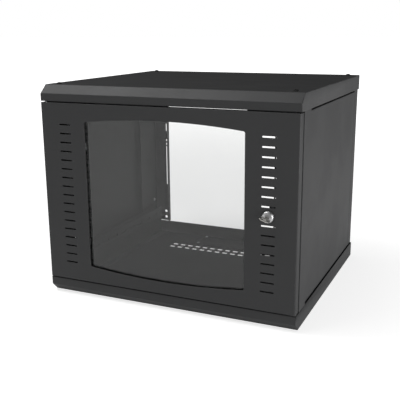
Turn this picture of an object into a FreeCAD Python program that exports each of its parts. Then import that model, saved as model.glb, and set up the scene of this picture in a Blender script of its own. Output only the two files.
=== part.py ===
"""Wall-mount network cabinet: a nine-unit 19-inch enclosure with a hinged glass door.

Folded sheet-steel pieces, millimetres, +Z up.  The front faces -Y.  The origin is the
centre of the footprint, on the underside of the bottom cover.
"""
import FreeCAD, Part
import math
import os
import types

import Sketcher

SIZES = {
    # overall
    "width": 600, "depth": 535, "height": 487,
    "frame_sheet": 1.5, "panel_sheet": 1.2, "rail_sheet": 2,
    # top and bottom covers
    "cap_height": 35.5, "top_chamfer_run": 21, "top_chamfer_rise": 18.7,
    "base_height": 36.4, "base_chamfer_run": 17, "base_chamfer_rise": 17.6, "base_reveal": 1.6,
    # door leaf and the gaps round it
    "door_gap_top": 2.4, "door_gap_base": 2.8, "door_inset": 1, "door_proud": 2,
    "door_depth": 20, "door_corner": 3, "door_lip": 14, "door_post_gap": 4,
    "window_stile": 112, "window_rail": 27.95, "window_rise": 11, "window_corner": 4,
    "window_drop": 0.8,
    "slot_length": 30, "slot_width": 3.4, "slot_pitch": 20, "slot_inset": 61.5, "slot_drop": 2.65,
    "glass_thickness": 4, "glass_lap": 5, "gasket_thickness": 3, "gasket_reveal": 1,
    "stiffener_width": 24, "stiffener_clearance": 2,
    "clip_width": 16, "clip_lap": 3, "clip_reach": 22, "clip_spacing": 110, "clip_offset": 110,
    "clip_screw": 4, "clip_screw_head": 7, "clip_screw_rise": 2,
    # door hinge
    "hinge_side": 8, "hinge_set_back": 11, "pin_diameter": 6, "pin_clearance": 0.05,
    "pin_reach": 5.5, "plate_thickness": 3, "plate_length": 28, "washer_diameter": 11,
    "washer_gap": 0.2, "bracket_sheet": 2, "bracket_width": 14, "bracket_drop": 35,
    "collar_diameter": 8.4, "collar_drop": 15.7, "spring_clearance": 0.3, "spring_wire": 0.8, "spring_turns": 5,
    "knob_diameter": 9, "knob_height": 5, "knob_gap": 0.3,
    # cam lock
    "bezel_diameter": 24.7, "bezel_height": 7, "bezel_bevel": 1.8, "barrel_diameter": 18,
    "barrel_length": 26, "barrel_clearance": 0.3, "plug_diameter": 12, "plug_clearance": 0.05,
    "plug_stand": 0.3, "plug_tail": 0.5, "nut_flats": 22, "nut_height": 4,
    "keyway_width": 2.4, "keyway_height": 8.8, "keyway_depth": 24, "key_play": 0.2,
    "key_bow_width": 22, "key_bow_length": 19, "key_neck": 5, "key_hole": 5,
    "cam_width": 13, "cam_reach": 27, "cam_thickness": 2, "cam_square": 5, "cam_play": 0.1,
    "cam_screw_diameter": 4, "cam_screw_head": 8, "cam_screw_rise": 2.5,
    # posts, beams and rail brackets
    "post_flange": 45, "front_strip": 46, "panel_seat": 15, "panel_inset": 3, "panel_groove": 7,
    "front_ledge": 27, "rear_strip": 35, "rear_ledge": 80, "rear_opening": 500, "rear_lip": 12,
    "rear_beam_height": 59.5, "top_beam_height": 55.5, "base_beam_height": 58.5,
    "wall_hole": 8, "wall_hole_inset": 14, "wall_hole_height": 58, "wall_hole_drop": 63, "wall_hole_pair": 18,
    "tie_slot_width": 3, "tie_slot_inset": 9, "long_tie_slot_length": 116, "long_tie_slot_height": 209,
    "short_tie_slot_length": 6, "short_tie_slot_height": 274, "short_tie_slot_pitch": 11,
    "upper_tie_slot_length": 22, "upper_tie_slot_height": 323,
    "bracket_height": 30, "bracket_setback": 1, "bracket_slot": 7, "bracket_slot_length": 30,
    "bracket_slot_pitch": 45, "bracket_end_gap": 2,
    # 19-inch rails
    "rack_opening": 450, "rack_hole_spacing": 465.1, "rack_unit": 44.45, "rail_face": 37,
    "rail_depth": 45, "rail_setback": 50, "rail_margin": 5, "rail_hole": 9.5,
    "rail_bolt": 6, "rail_bolt_head": 10, "rail_bolt_rise": 4, "rail_nut_height": 5,
    # side panels
    "panel_top_gap": 4.5, "panel_lip": 12, "panel_bend": 1.5,
    "panel_screw": 4.8, "panel_screw_head": 9, "panel_screw_rise": 3, "panel_screw_spacing": 133,
    "hole_clearance": 0.6,
    # floor of the bottom cover
    "vent_length": 15, "vent_width": 12, "vent_pitch": 23, "vent_row_gap": 22, "vent_rear": 100,
    "entry_width": 271, "entry_depth": 48, "entry_rear": 15, "entry_slit": 3,
    "entry_cover_lap_front": 14, "entry_cover_lap_rear": 10, "entry_screw": 4,
    "entry_screw_head": 8, "entry_screw_rise": 2.4, "entry_screw_inset": 6.5,
    # small parts
    "cap_plug_hole": 8, "cap_plug_head": 11, "cap_plug_rim": 1.5, "cap_plug_rise": 3.5,
    "cap_plug_side": 25, "cap_plug_front": 40, "cap_plug_rear": 24, "cap_plug_stem": 7,
    "bumper_diameter": 10, "bumper_side": 10, "bumper_inset": 42, "bumper_gap": 0.3,
    "seal_play": 0.4, "seal_width": 8, "seal_set_back": 6, "seal_window_gap": 1, "seal_hinge_gap": 5,
    "earth_thread": 6, "earth_length": 16, "earth_nut_flats": 10, "earth_nut_height": 5,
    "earth_side": 22, "earth_rear": 90,
}
RACK_UNITS = 9
SLOTS_PER_COLUMN = 17
VENT_COLUMNS = 17
BRACKET_SLOTS = 9
KEY_TILT_DEGREES = 20
SIDES = {"left": -1, "right": 1}

doc = FreeCAD.newDocument("network_cabinet")
sheet = doc.addObject("Spreadsheet::Sheet", "Params")


class Size:
    """A length together with the spreadsheet formula that it follows."""

    def __init__(self, value, formula):
        self.value = float(value)
        self.formula = formula

    @staticmethod
    def of(number):
        return number if isinstance(number, Size) else Size(number, repr(float(number)))

    def _with(self, other, sign, value):
        return Size(value, f"({self.formula} {sign} {Size.of(other).formula})")

    def __add__(self, other):
        return self._with(other, "+", self.value + Size.of(other).value)

    def __sub__(self, other):
        return self._with(other, "-", self.value - Size.of(other).value)

    def __mul__(self, other):
        return self._with(other, "*", self.value * Size.of(other).value)

    def __truediv__(self, other):
        return self._with(other, "/", self.value / Size.of(other).value)

    def __radd__(self, other):
        return Size.of(other) + self

    def __rsub__(self, other):
        return Size.of(other) - self

    def __rmul__(self, other):
        return Size.of(other) * self

    def __neg__(self):
        return Size(-self.value, f"(0 - {self.formula})")


def fill_sheet():
    """Write every size to the sheet and give back the sizes by name."""
    for row, (name, value) in enumerate(SIZES.items(), start=1):
        sheet.set(f"A{row}", name)
        sheet.set(f"B{row}", str(value))
        sheet.setAlias(f"B{row}", name)
    doc.recompute()
    return types.SimpleNamespace(**{name: Size(value, f"Params.{name}") for name, value in SIZES.items()})


def bind(obj, path, size):
    """Tie one property of an object to a size."""
    obj.setExpression(path, Size.of(size).formula)


# ---------------------------------------------------------------- sketches and features
# For each plane: the sign that turns a world position along the normal into the sketch's offset.
PLANES = {"XY": 1, "XZ": -1, "YZ": 1}


class Circle:
    """A round outline in a sketch."""

    def __init__(self, u, v, diameter):
        self.centre = (Size.of(u), Size.of(v))
        self.radius = Size.of(diameter) / 2


class ArchedWindow:
    """A rectangle whose top and bottom sides bow outwards by `rise`."""

    def __init__(self, width, side, rise, centre_height):
        self.width, self.side, self.rise, self.centre_height = width, side, rise, centre_height


def new_body(name):
    body = doc.addObject("PartDesign::Body", name)
    body.Label = name
    return body


def origin_feature(body, role):
    return next(feature for feature in body.Origin.OriginFeatures if feature.Role == role)


def pin_point(sketch, geometry, point, place):
    """Fix one point of the sketch by its two distances from the origin."""
    for kind, size in (("DistanceX", place[0]), ("DistanceY", place[1])):
        size = Size.of(size)
        index = sketch.addConstraint(Sketcher.Constraint(kind, -1, 1, geometry, point, size.value))
        bind(sketch, f"Constraints[{index}]", size)


def draw_polygon(sketch, corners):
    corners = [(Size.of(u), Size.of(v)) for u, v in corners]
    vectors = [FreeCAD.Vector(u.value, v.value, 0) for u, v in corners]
    first = sketch.GeometryCount
    for start, end in zip(vectors, vectors[1:] + vectors[:1]):
        sketch.addGeometry(Part.LineSegment(start, end), False)
    for index, corner in enumerate(corners):
        following = first + (index + 1) % len(corners)
        sketch.addConstraint(Sketcher.Constraint("Coincident", first + index, 2, following, 1))
        pin_point(sketch, first + index, 1, corner)


def draw_circle(sketch, circle):
    centre = FreeCAD.Vector(circle.centre[0].value, circle.centre[1].value, 0)
    shape = Part.Circle(centre, FreeCAD.Vector(0, 0, 1), circle.radius.value)
    geometry = sketch.addGeometry(shape, False)
    pin_point(sketch, geometry, 3, circle.centre)
    index = sketch.addConstraint(Sketcher.Constraint("Radius", geometry, circle.radius.value))
    bind(sketch, f"Constraints[{index}]", circle.radius)


def draw_arched_window(sketch, window):
    """Two upright lines joined by two arcs centred on the door's middle line."""
    half, reach = window.width / 2, window.side / 2
    middle = window.centre_height
    # A chord 2a with its arc rising by h has the radius (a*a + h*h) / 2h.
    radius = (half * half + window.rise * window.rise) / (window.rise * 2)
    upright = [((half, middle - reach), (half, middle + reach)),
               ((-half, middle + reach), (-half, middle - reach))]
    for start, end in upright:
        points = [FreeCAD.Vector(u.value, v.value, 0) for u, v in (start, end)]
        line = sketch.addGeometry(Part.LineSegment(*points), False)
        pin_point(sketch, line, 1, start)
        pin_point(sketch, line, 2, end)
    half_turn = math.asin(half.value / radius.value)
    for direction, joins in ((1, ((0, 2), (1, 1))), (-1, ((1, 2), (0, 1)))):
        height = middle.value + direction * (reach.value + window.rise.value - radius.value)
        centre = FreeCAD.Vector(0, height, 0)
        circle = Part.Circle(centre, FreeCAD.Vector(0, 0, 1), radius.value)
        mean = direction * math.pi / 2
        arc = sketch.addGeometry(Part.ArcOfCircle(circle, mean - half_turn, mean + half_turn), False)
        for point, (line, end) in zip((1, 2), joins):
            sketch.addConstraint(Sketcher.Constraint("Coincident", arc, point, line, end))
        index = sketch.addConstraint(Sketcher.Constraint("Radius", arc, radius.value))
        bind(sketch, f"Constraints[{index}]", radius)


def sketch_on(body, plane, offset, outlines):
    """Draw outlines on one of the body's own planes, moved along its normal to `offset`."""
    sketch = body.newObject("Sketcher::SketchObject", f"{body.Label}_sketch")
    sketch.AttachmentSupport = [(origin_feature(body, f"{plane}_Plane"), "")]
    sketch.MapMode = "FlatFace"
    bind(sketch, ".AttachmentOffset.Base.z", Size.of(offset) * PLANES[plane])
    for outline in outlines:
        if isinstance(outline, Circle):
            draw_circle(sketch, outline)
        elif isinstance(outline, ArchedWindow):
            draw_arched_window(sketch, outline)
        else:
            draw_polygon(sketch, outline)
    return sketch


def extrude(kind, body, plane, outlines, low, high):
    """Carry outlines from position `low` to position `high` along the plane's normal."""
    low, high = Size.of(low), Size.of(high)
    sketch = sketch_on(body, plane, (low + high) / 2, outlines)
    feature = body.newObject(f"PartDesign::{kind}", f"{body.Label}_{kind.lower()}")
    feature.Profile = sketch
    feature.SideType = "Symmetric"
    bind(feature, "Length", high - low)
    return feature


def pad(body, plane, outlines, low, high):
    return extrude("Pad", body, plane, outlines, low, high)


def pocket(body, plane, outlines, low, high):
    """Cut outlines out and make sure that the cut took material away."""
    doc.recompute()
    before = body.Shape.Volume
    feature = extrude("Pocket", body, plane, outlines, low, high)
    doc.recompute()
    if body.Shape.Volume >= before - 1e-6:
        raise ValueError(f"{feature.Label} cuts nothing")
    return feature


def repeat(body, feature, axis, count, pitch):
    """Repeat a feature along one of the body's axes."""
    pattern = body.newObject("PartDesign::LinearPattern", f"{body.Label}_pattern")
    pattern.Originals = [feature]
    pattern.Direction = (origin_feature(body, f"{axis}_Axis"), [""])
    pattern.Mode = "Spacing"
    bind(pattern, "Offset", pitch)
    pattern.Occurrences = count
    body.Tip = pattern
    return pattern


def round_edges(body, radius, chosen):
    """Round the edges of the finished shape for which `chosen` is true."""
    doc.recompute()
    base = body.Tip
    names = [f"Edge{index}" for index, edge in enumerate(base.Shape.Edges, start=1) if chosen(edge)]
    if not names:
        raise ValueError(f"{body.Label} has no edge to round")
    fillet = body.newObject("PartDesign::Fillet", f"{body.Label}_round")
    fillet.Base = (base, names)
    bind(fillet, "Radius", radius)
    body.Tip = fillet
    return fillet


def is_along(edge, axis):
    """True for a straight edge parallel to X, Y or Z."""
    if not isinstance(edge.Curve, (Part.Line, Part.LineSegment)):
        return False
    direction = edge.tangentAt(edge.FirstParameter)
    return abs(abs(direction["XYZ".index(axis)]) - 1) < 1e-6


def rectangle(u_low, u_high, v_low, v_high):
    return [(u_low, v_low), (u_high, v_low), (u_high, v_high), (u_low, v_high)]


def folded(path, thickness):
    """Close a square-cornered path into the section of a sheet that lies on its left."""
    path = [(Size.of(u), Size.of(v)) for u, v in path]
    normals = []
    for (u_start, v_start), (u_end, v_end) in zip(path, path[1:]):
        length = math.hypot(u_end.value - u_start.value, v_end.value - v_start.value)
        normals.append(((v_start.value - v_end.value) / length, (u_end.value - u_start.value) / length))
    inner = []
    for index, (u, v) in enumerate(path):
        around = normals[max(index - 1, 0):index + 1]
        across = tuple(round(sum(normal[axis] for normal in around)) for axis in (0, 1))
        inner.append((u + thickness * across[0], v + thickness * across[1]))
    return path + inner[::-1]


def hexagon(u, v, flats):
    """A hexagon with two flats upright, `flats` apart."""
    circumradius = flats / math.sqrt(3)
    angles = [math.radians(30 + 60 * step) for step in range(6)]
    return [(u + circumradius * math.cos(a), v + circumradius * math.sin(a)) for a in angles]


def revolve(body, plane, corners):
    """Turn a half section about the body's own Y axis (plane XY) or Z axis (plane XZ)."""
    sketch = sketch_on(body, plane, 0, [corners])
    feature = body.newObject("PartDesign::Revolution", f"{body.Label}_turned")
    feature.Profile = sketch
    feature.ReferenceAxis = (sketch, ["V_Axis"])
    feature.Angle = 360
    return feature


def place(obj, x, y, z):
    for axis, size in zip("xyz", (x, y, z)):
        bind(obj, f".Placement.Base.{axis}", size)


# ---------------------------------------------------------------- groups of small solids
DIRECTIONS = {"+X": (0, 1, 0, 90), "-X": (0, 1, 0, -90), "+Y": (1, 0, 0, -90),
              "-Y": (1, 0, 0, 90), "+Z": (0, 0, 1, 0), "-Z": (1, 0, 0, 180)}
ALONG = {"+X": (1, 0, 0), "-X": (-1, 0, 0), "+Y": (0, 1, 0),
         "-Y": (0, -1, 0), "+Z": (0, 0, 1), "-Z": (0, 0, -1)}


def turned_to(obj, direction):
    x, y, z, angle = DIRECTIONS[direction]
    obj.Placement = FreeCAD.Placement(FreeCAD.Vector(), FreeCAD.Rotation(FreeCAD.Vector(x, y, z), angle))


def cylinder(name, foot, direction, diameter, length):
    solid = doc.addObject("Part::Cylinder", name)
    turned_to(solid, direction)
    place(solid, *foot)
    bind(solid, "Radius", Size.of(diameter) / 2)
    bind(solid, "Height", length)
    return solid


def cone(name, foot, direction, diameter, end_diameter, length):
    solid = doc.addObject("Part::Cone", name)
    turned_to(solid, direction)
    place(solid, *foot)
    bind(solid, "Radius1", Size.of(diameter) / 2)
    bind(solid, "Radius2", Size.of(end_diameter) / 2)
    bind(solid, "Height", length)
    return solid


def box(name, corner, sizes):
    """A block from its low corner and its sizes along X, Y and Z."""
    solid = doc.addObject("Part::Box", name)
    place(solid, *corner)
    for side, size in zip(("Length", "Width", "Height"), sizes):
        bind(solid, side, size)
    return solid


def cut(name, base, tool):
    result = doc.addObject("Part::Cut", name)
    result.Base, result.Tool = base, tool
    return result


def moved(point, direction, distance):
    return [Size.of(value) + Size.of(distance) * step for value, step in zip(point, ALONG[direction])]


def screw(name, seat, direction, thread, length, head, rise):
    """A screw whose head sits on `seat` and whose thread runs along `direction`."""
    opposite = {"+": "-", "-": "+"}[direction[0]] + direction[1]
    parts = [cylinder(f"{name}_thread", seat, direction, thread, length),
             cylinder(f"{name}_head", seat, opposite, head, rise)]
    fused = doc.addObject("Part::MultiFuse", name)
    fused.Shapes = parts
    return fused


def group(name, solids):
    """Several separate solids that count as one sub-part."""
    compound = doc.addObject("Part::Compound", name)
    compound.Label = name
    compound.Links = solids
    return compound


# ---------------------------------------------------------------- places that pieces share
d = fill_sheet()
front, rear = -d.depth / 2, d.depth / 2
half_width = d.width / 2
sheet_t = d.frame_sheet
cap_underside = d.height - d.cap_height
post_foot = d.base_height + d.base_reveal

door_low, door_high = d.base_height + d.door_gap_base, cap_underside - d.door_gap_top
door_middle = (door_low + door_high) / 2
door_half = half_width - d.door_inset
door_front = front - d.door_proud
door_back = door_front + d.door_depth
door_skin = door_front + sheet_t

post_front = door_back + d.door_post_gap
lip_back = post_front + sheet_t
strip_back = post_front + d.front_strip
seat_x = half_width - d.panel_seat
web_x = seat_x - sheet_t
panel_x = half_width - d.panel_inset
panel_front, panel_rear = strip_back + d.panel_groove, rear - d.rear_strip
panel_low, panel_high = post_foot, cap_underside - d.panel_top_gap
panel_screw_places = [(y, d.height / 2 + step * d.panel_screw_spacing)
                      for y in (panel_front + d.panel_lip / 2, panel_rear - d.panel_lip / 2)
                      for step in (-1, 1)]

rail_x = d.rack_opening / 2 + d.rail_face
rail_front = post_front + d.rail_setback
rack_middle = (post_foot + cap_underside) / 2
rack_low = rack_middle - d.rack_unit * (RACK_UNITS / 2)
base_beam_top = sheet_t + d.base_beam_height
top_beam_underside = d.height - sheet_t - d.top_beam_height
bracket_heights = (base_beam_top + d.bracket_height / 2, top_beam_underside - d.bracket_height / 2)
bracket_front = strip_back + d.bracket_setback
rail_bolt_y = bracket_front + d.bracket_slot_pitch / 2 + d.bracket_end_gap

hinge_x = -door_half + d.hinge_side
hinge_y = door_front + d.hinge_set_back
pin_hole = d.pin_diameter + d.pin_clearance * 2

slot_middle = door_middle - d.slot_drop
slot_x = door_half - d.slot_inset
lock_x, lock_z = slot_x, slot_middle
plug_bore = d.plug_diameter + d.plug_clearance * 2
barrel_hole = d.barrel_diameter + d.barrel_clearance * 2

glass_front = door_skin + d.gasket_thickness
glass_back = glass_front + d.glass_thickness
window_half = door_half - d.window_stile
window_middle = door_middle - d.window_drop
window_reach = (door_high - door_low) / 2 - d.window_rail
window_side = (window_reach - d.window_rise) * 2
glass_half = window_half + d.glass_lap
glass_reach = window_reach + d.glass_lap
stiffener_x = glass_half + d.stiffener_clearance
stiffener_z = glass_reach + d.stiffener_clearance
clip_screw_x = stiffener_x + d.stiffener_width / 2
clip_screw_z = stiffener_z + d.stiffener_width / 2

cap_plug_places = [(side * (half_width - d.cap_plug_side), y)
                   for side in SIDES.values()
                   for y in (front + d.cap_plug_front, rear - d.cap_plug_rear)]
entry_front, entry_back = rear - d.entry_rear - d.entry_depth, rear - d.entry_rear
entry_cover_half = d.entry_width / 2 - d.entry_slit
entry_screw_places = [(side * (entry_cover_half - d.entry_screw_inset), y)
                      for side in SIDES.values()
                      for y in (entry_front - d.entry_cover_lap_front / 2,
                                entry_back + d.entry_cover_lap_rear / 2)]


# ---------------------------------------------------------------- covers
def make_top_cover():
    """A tray, open below, with a bevelled front and a return lip that carries the hinge pin."""
    body = new_body("top_cover")
    bevel_low = d.height - d.top_chamfer_rise
    pad(body, "YZ", [[(front, cap_underside), (rear, cap_underside), (rear, d.height),
                      (front + d.top_chamfer_run, d.height), (front, bevel_low)]],
        -half_width, half_width)
    # A sheet folded through 45 degrees moves its inner corner by tan(22.5 degrees) of its thickness.
    shift = sheet_t * math.tan(math.radians(22.5))
    inner = [(lip_back, cap_underside - 1), (rear - sheet_t, cap_underside - 1),
             (rear - sheet_t, d.height - sheet_t),
             (front + d.top_chamfer_run + shift, d.height - sheet_t),
             (front + sheet_t, bevel_low - shift), (front + sheet_t, cap_underside + sheet_t),
             (lip_back, cap_underside + sheet_t)]
    pocket(body, "YZ", [inner], sheet_t - half_width, half_width - sheet_t)
    pocket(body, "XY", [Circle(hinge_x, hinge_y, pin_hole)],
           cap_underside - 1, cap_underside + sheet_t + 1)
    pocket(body, "XY", [Circle(x, y, d.cap_plug_hole) for x, y in cap_plug_places],
           d.height - sheet_t - 1, d.height + 1)
    return body


def make_bottom_cover():
    """The mirrored tray: floor with two vent rows and the cable entry, bands and front lip."""
    body = new_body("bottom_cover")
    pad(body, "YZ", [[(front, d.base_height), (rear, d.base_height), (rear, 0),
                      (front + d.base_chamfer_run, 0), (front, d.base_chamfer_rise)]],
        -half_width, half_width)
    shift = sheet_t * math.tan(math.radians(22.5))
    inner = [(lip_back, d.base_height + 1), (rear - sheet_t, d.base_height + 1), (rear - sheet_t, sheet_t),
             (front + d.base_chamfer_run + shift, sheet_t),
             (front + sheet_t, d.base_chamfer_rise + shift), (front + sheet_t, d.base_height - sheet_t),
             (lip_back, d.base_height - sheet_t)]
    pocket(body, "YZ", [inner], sheet_t - half_width, half_width - sheet_t)
    pocket(body, "XY", [Circle(hinge_x, hinge_y, pin_hole)], d.base_height - sheet_t - 1, d.base_height + 1)
    pocket(body, "XY", [rectangle(-d.entry_width / 2, d.entry_width / 2, entry_front, entry_back)],
           -1, sheet_t + 1)
    pocket(body, "XY", [Circle(x, y, d.entry_screw + d.hole_clearance) for x, y in entry_screw_places],
           -1, sheet_t + 1)
    first_x = -d.vent_pitch * ((VENT_COLUMNS - 1) / 2)
    rows = [rear - d.vent_rear, rear - d.vent_rear - d.vent_row_gap]
    pair = [rectangle(first_x - d.vent_length / 2, first_x + d.vent_length / 2,
                      y - d.vent_width / 2, y + d.vent_width / 2) for y in rows]
    vents = pocket(body, "XY", pair, -1, sheet_t + 1)
    repeat(body, vents, "X", VENT_COLUMNS, d.vent_pitch)
    return body


def make_entry_cover():
    """The blanking plate over the cable entry, which leaves a narrow slit at each end."""
    body = new_body("cable_entry_cover")
    low, high = entry_front - d.entry_cover_lap_front, entry_back + d.entry_cover_lap_rear
    pad(body, "XY", [rectangle(-entry_cover_half, entry_cover_half, low, high)],
        sheet_t, sheet_t + d.panel_sheet)
    pocket(body, "XY", [Circle(x, y, d.entry_screw + d.hole_clearance) for x, y in entry_screw_places],
           0, sheet_t * 3)
    top = sheet_t + d.panel_sheet
    length = top - d.hole_clearance / 2
    group("cable_cover_screws",
          [screw(f"cable_cover_screw_{index}", (x, y, top), "-Z", d.entry_screw, length,
                 d.entry_screw_head, d.entry_screw_rise)
           for index, (x, y) in enumerate(entry_screw_places)])
    return body


def make_cap_plugs():
    """Four low round plugs that close the fixing holes at the top cover's corners."""
    plugs = []
    for index, (x, y) in enumerate(cap_plug_places):
        name = f"top_plug_{index}"
        rim = cylinder(f"{name}_rim", (x, y, d.height), "+Z", d.cap_plug_head, d.cap_plug_rim)
        crown = cone(f"{name}_crown", (x, y, d.height + d.cap_plug_rim), "+Z", d.cap_plug_head,
                     d.cap_plug_stem, d.cap_plug_rise - d.cap_plug_rim)
        stem = cylinder(f"{name}_stem", (x, y, d.height), "-Z", d.cap_plug_stem, sheet_t * 4)
        fused = doc.addObject("Part::MultiFuse", name)
        fused.Shapes = [rim, crown, stem]
        plugs.append(fused)
    group("top_plugs", plugs)


# ---------------------------------------------------------------- frame
def make_front_post(name, side):
    """A corner post: door flange, flush outer strip, groove and the ledge behind the panel."""
    body = new_body(f"front_post_{name}")
    flange_x = half_width - d.post_flange
    path = [(side * flange_x, post_front), (side * half_width, post_front),
            (side * half_width, strip_back), (side * seat_x, strip_back),
            (side * seat_x, strip_back + d.front_ledge)]
    pad(body, "XY", [folded(path, sheet_t * side)], post_foot, cap_underside)
    holes = [Circle(y, z, d.panel_screw + d.hole_clearance) for y, z in panel_screw_places[:2]]
    pocket(body, "YZ", holes, side * (seat_x - sheet_t * 2), side * (seat_x + sheet_t))


def make_rear_post(name, side):
    """The rear upright: wall flange with its lip, narrow outer strip and the panel's ledge."""
    body = new_body(f"rear_post_{name}")
    opening_x = d.rear_opening / 2
    path = [(side * opening_x, rear - d.rear_lip), (side * opening_x, rear), (side * panel_x, rear),
            (side * panel_x, panel_rear), (side * seat_x, panel_rear),
            (side * seat_x, panel_rear - d.rear_ledge)]
    pad(body, "XY", [folded(path, -sheet_t * side)], post_foot, cap_underside)
    hole_x = side * (opening_x + d.wall_hole_inset)
    low, high = d.wall_hole_height, d.height - d.wall_hole_drop
    heights = [height + step * d.wall_hole_pair / 2 for height in (low, high) for step in (-1, 1)]
    pocket(body, "XZ", [Circle(hole_x, z, d.wall_hole) for z in heights], rear - sheet_t * 2, rear + 1)
    tie_x = side * (opening_x + d.tie_slot_inset)
    half_slot = d.tie_slot_width / 2
    spans = [(d.long_tie_slot_height, d.long_tie_slot_length),
             (d.short_tie_slot_height, d.short_tie_slot_length),
             (d.short_tie_slot_height + d.short_tie_slot_pitch, d.short_tie_slot_length),
             (d.upper_tie_slot_height, d.upper_tie_slot_length)]
    slots = [rectangle(tie_x - half_slot, tie_x + half_slot, middle - length / 2, middle + length / 2)
             for middle, length in spans]
    pocket(body, "XZ", slots, rear - sheet_t * 2, rear + 1)
    holes = [Circle(y, z, d.panel_screw + d.hole_clearance) for y, z in panel_screw_places[2:]]
    pocket(body, "YZ", holes, side * (seat_x - sheet_t * 2), side * (seat_x + sheet_t))


def make_rear_beam():
    """The channel across the back, above the rear opening."""
    body = new_body("rear_beam_top")
    low = cap_underside - d.rear_beam_height
    path = [(rear - d.rear_lip, cap_underside), (rear, cap_underside), (rear, low),
            (rear - d.rear_lip, low)]
    half = d.rear_opening / 2
    pad(body, "YZ", [folded(path, -sheet_t)], -half, half)


def make_side_beam(name, side, level):
    """A channel that runs from front to back inside a cover, along one side."""
    body = new_body(f"side_beam_{level}_{name}")
    if level == "top":
        outer, inner = d.height - sheet_t, top_beam_underside
        fold = -side
    else:
        outer, inner = sheet_t, base_beam_top
        fold = side
    path = [(side * rail_x, outer), (side * web_x, outer), (side * web_x, inner), (side * rail_x, inner)]
    pad(body, "XZ", [folded(path, sheet_t * fold)], lip_back, rear - sheet_t)
    if level == "top":
        places = [(x, y) for x, y in cap_plug_places if x.value * side > 0]
        pocket(body, "XY", [Circle(x, y, d.cap_plug_hole) for x, y in places],
               d.height - sheet_t * 3, d.height)


def make_rail_bracket(name, side, level):
    """A slotted channel that carries the 19-inch rail and lets it move in depth."""
    body = new_body(f"rail_bracket_{level}_{name}")
    if level == "top":
        back, edge = top_beam_underside, top_beam_underside - d.bracket_height
        fold = -side
    else:
        back, edge = base_beam_top, base_beam_top + d.bracket_height
        fold = side
    path = [(side * rail_x, edge), (side * rail_x, back), (side * web_x, back), (side * web_x, edge)]
    pad(body, "XZ", [folded(path, sheet_t * fold)], bracket_front, panel_rear - d.bracket_end_gap)
    height = (back + edge) / 2
    half_width_slot, half_length = d.bracket_slot / 2, d.bracket_slot_length / 2
    slot = pocket(body, "YZ", [rectangle(rail_bolt_y - half_length, rail_bolt_y + half_length,
                                         height - half_width_slot, height + half_width_slot)],
                  side * (rail_x - sheet_t), side * (rail_x + sheet_t * 2))
    repeat(body, slot, "Y", BRACKET_SLOTS, d.bracket_slot_pitch)


def make_rack_rail(name, side):
    """A 19-inch rail: an angle with three square holes in each rack unit."""
    body = new_body(f"rack_rail_{name}")
    inner = d.rack_opening / 2
    path = [(side * inner, rail_front), (side * rail_x, rail_front),
            (side * rail_x, rail_front + d.rail_depth)]
    low, high = rack_low - d.rail_margin, rack_low + d.rack_unit * RACK_UNITS + d.rail_margin
    pad(body, "XY", [folded(path, d.rail_sheet * side)], low, high)
    pocket(body, "YZ", [Circle(rail_bolt_y, z, d.rail_bolt + d.hole_clearance) for z in bracket_heights],
           side * (rail_x - d.rail_sheet * 2), side * (rail_x + sheet_t))
    hole_x, half_hole = side * d.rack_hole_spacing / 2, d.rail_hole / 2
    squares = [rectangle(hole_x - half_hole, hole_x + half_hole, z - half_hole, z + half_hole)
               for z in (rack_low + d.rack_unit * share for share in (1 / 7, 1 / 2, 6 / 7))]
    unit = pocket(body, "XZ", squares, rail_front - 1, rail_front + d.rail_sheet + 1)
    repeat(body, unit, "Z", RACK_UNITS, d.rack_unit)


def make_rail_fixings():
    bolts, nuts = [], []
    for name, side in SIDES.items():
        into = "+X" if side > 0 else "-X"
        for index, height in enumerate(bracket_heights):
            seat = (side * (rail_x - d.rail_sheet), rail_bolt_y, height)
            grip = d.rail_sheet + sheet_t
            bolts.append(screw(f"rail_bolt_{name}_{index}", seat, into, d.rail_bolt,
                               grip + d.rail_nut_height, d.rail_bolt_head, d.rail_bolt_rise))
            outer = cylinder(f"rail_nut_{name}_{index}_outer", moved(seat, into, grip), into,
                             d.rail_bolt_head, d.rail_nut_height)
            bore = cylinder(f"rail_nut_{name}_{index}_bore", moved(seat, into, grip), into,
                            d.rail_bolt, d.rail_nut_height)
            nuts.append(cut(f"rail_nut_{name}_{index}", outer, bore))
    group("rail_bolts", bolts)
    group("rail_nuts", nuts)


# ---------------------------------------------------------------- side panels
def make_side_panel(name, side):
    """A shallow pan with returned lips that lie against the posts' ledges."""
    body = new_body(f"side_panel_{name}")
    skin, lip = d.panel_sheet, d.panel_lip
    pad(body, "YZ", [rectangle(panel_front, panel_rear, panel_low, panel_high)],
        side * seat_x, side * panel_x)
    outer_x = side * panel_x
    round_edges(body, d.panel_bend,
                lambda edge: all(abs(vertex.X - outer_x.value) < 1e-6 for vertex in edge.Vertexes))
    pocket(body, "YZ", [rectangle(panel_front + skin, panel_rear - skin,
                                  panel_low + skin, panel_high - skin)],
           side * (seat_x + skin), side * (panel_x - skin))
    pocket(body, "YZ", [rectangle(panel_front + lip, panel_rear - lip, panel_low + lip, panel_high - lip)],
           side * (seat_x - skin), side * (seat_x + skin * 2))
    pocket(body, "YZ", [Circle(y, z, d.panel_screw + d.hole_clearance) for y, z in panel_screw_places],
           side * (seat_x - skin), side * (seat_x + skin * 2))


def make_panel_screws():
    screws = []
    for name, side in SIDES.items():
        into = "+X" if side > 0 else "-X"
        screws += [screw(f"panel_screw_{name}_{index}", (side * web_x, y, z), into, d.panel_screw,
                         sheet_t * 3, d.panel_screw_head, d.panel_screw_rise)
                   for index, (y, z) in enumerate(panel_screw_places)]
    group("panel_screws", screws)


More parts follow.
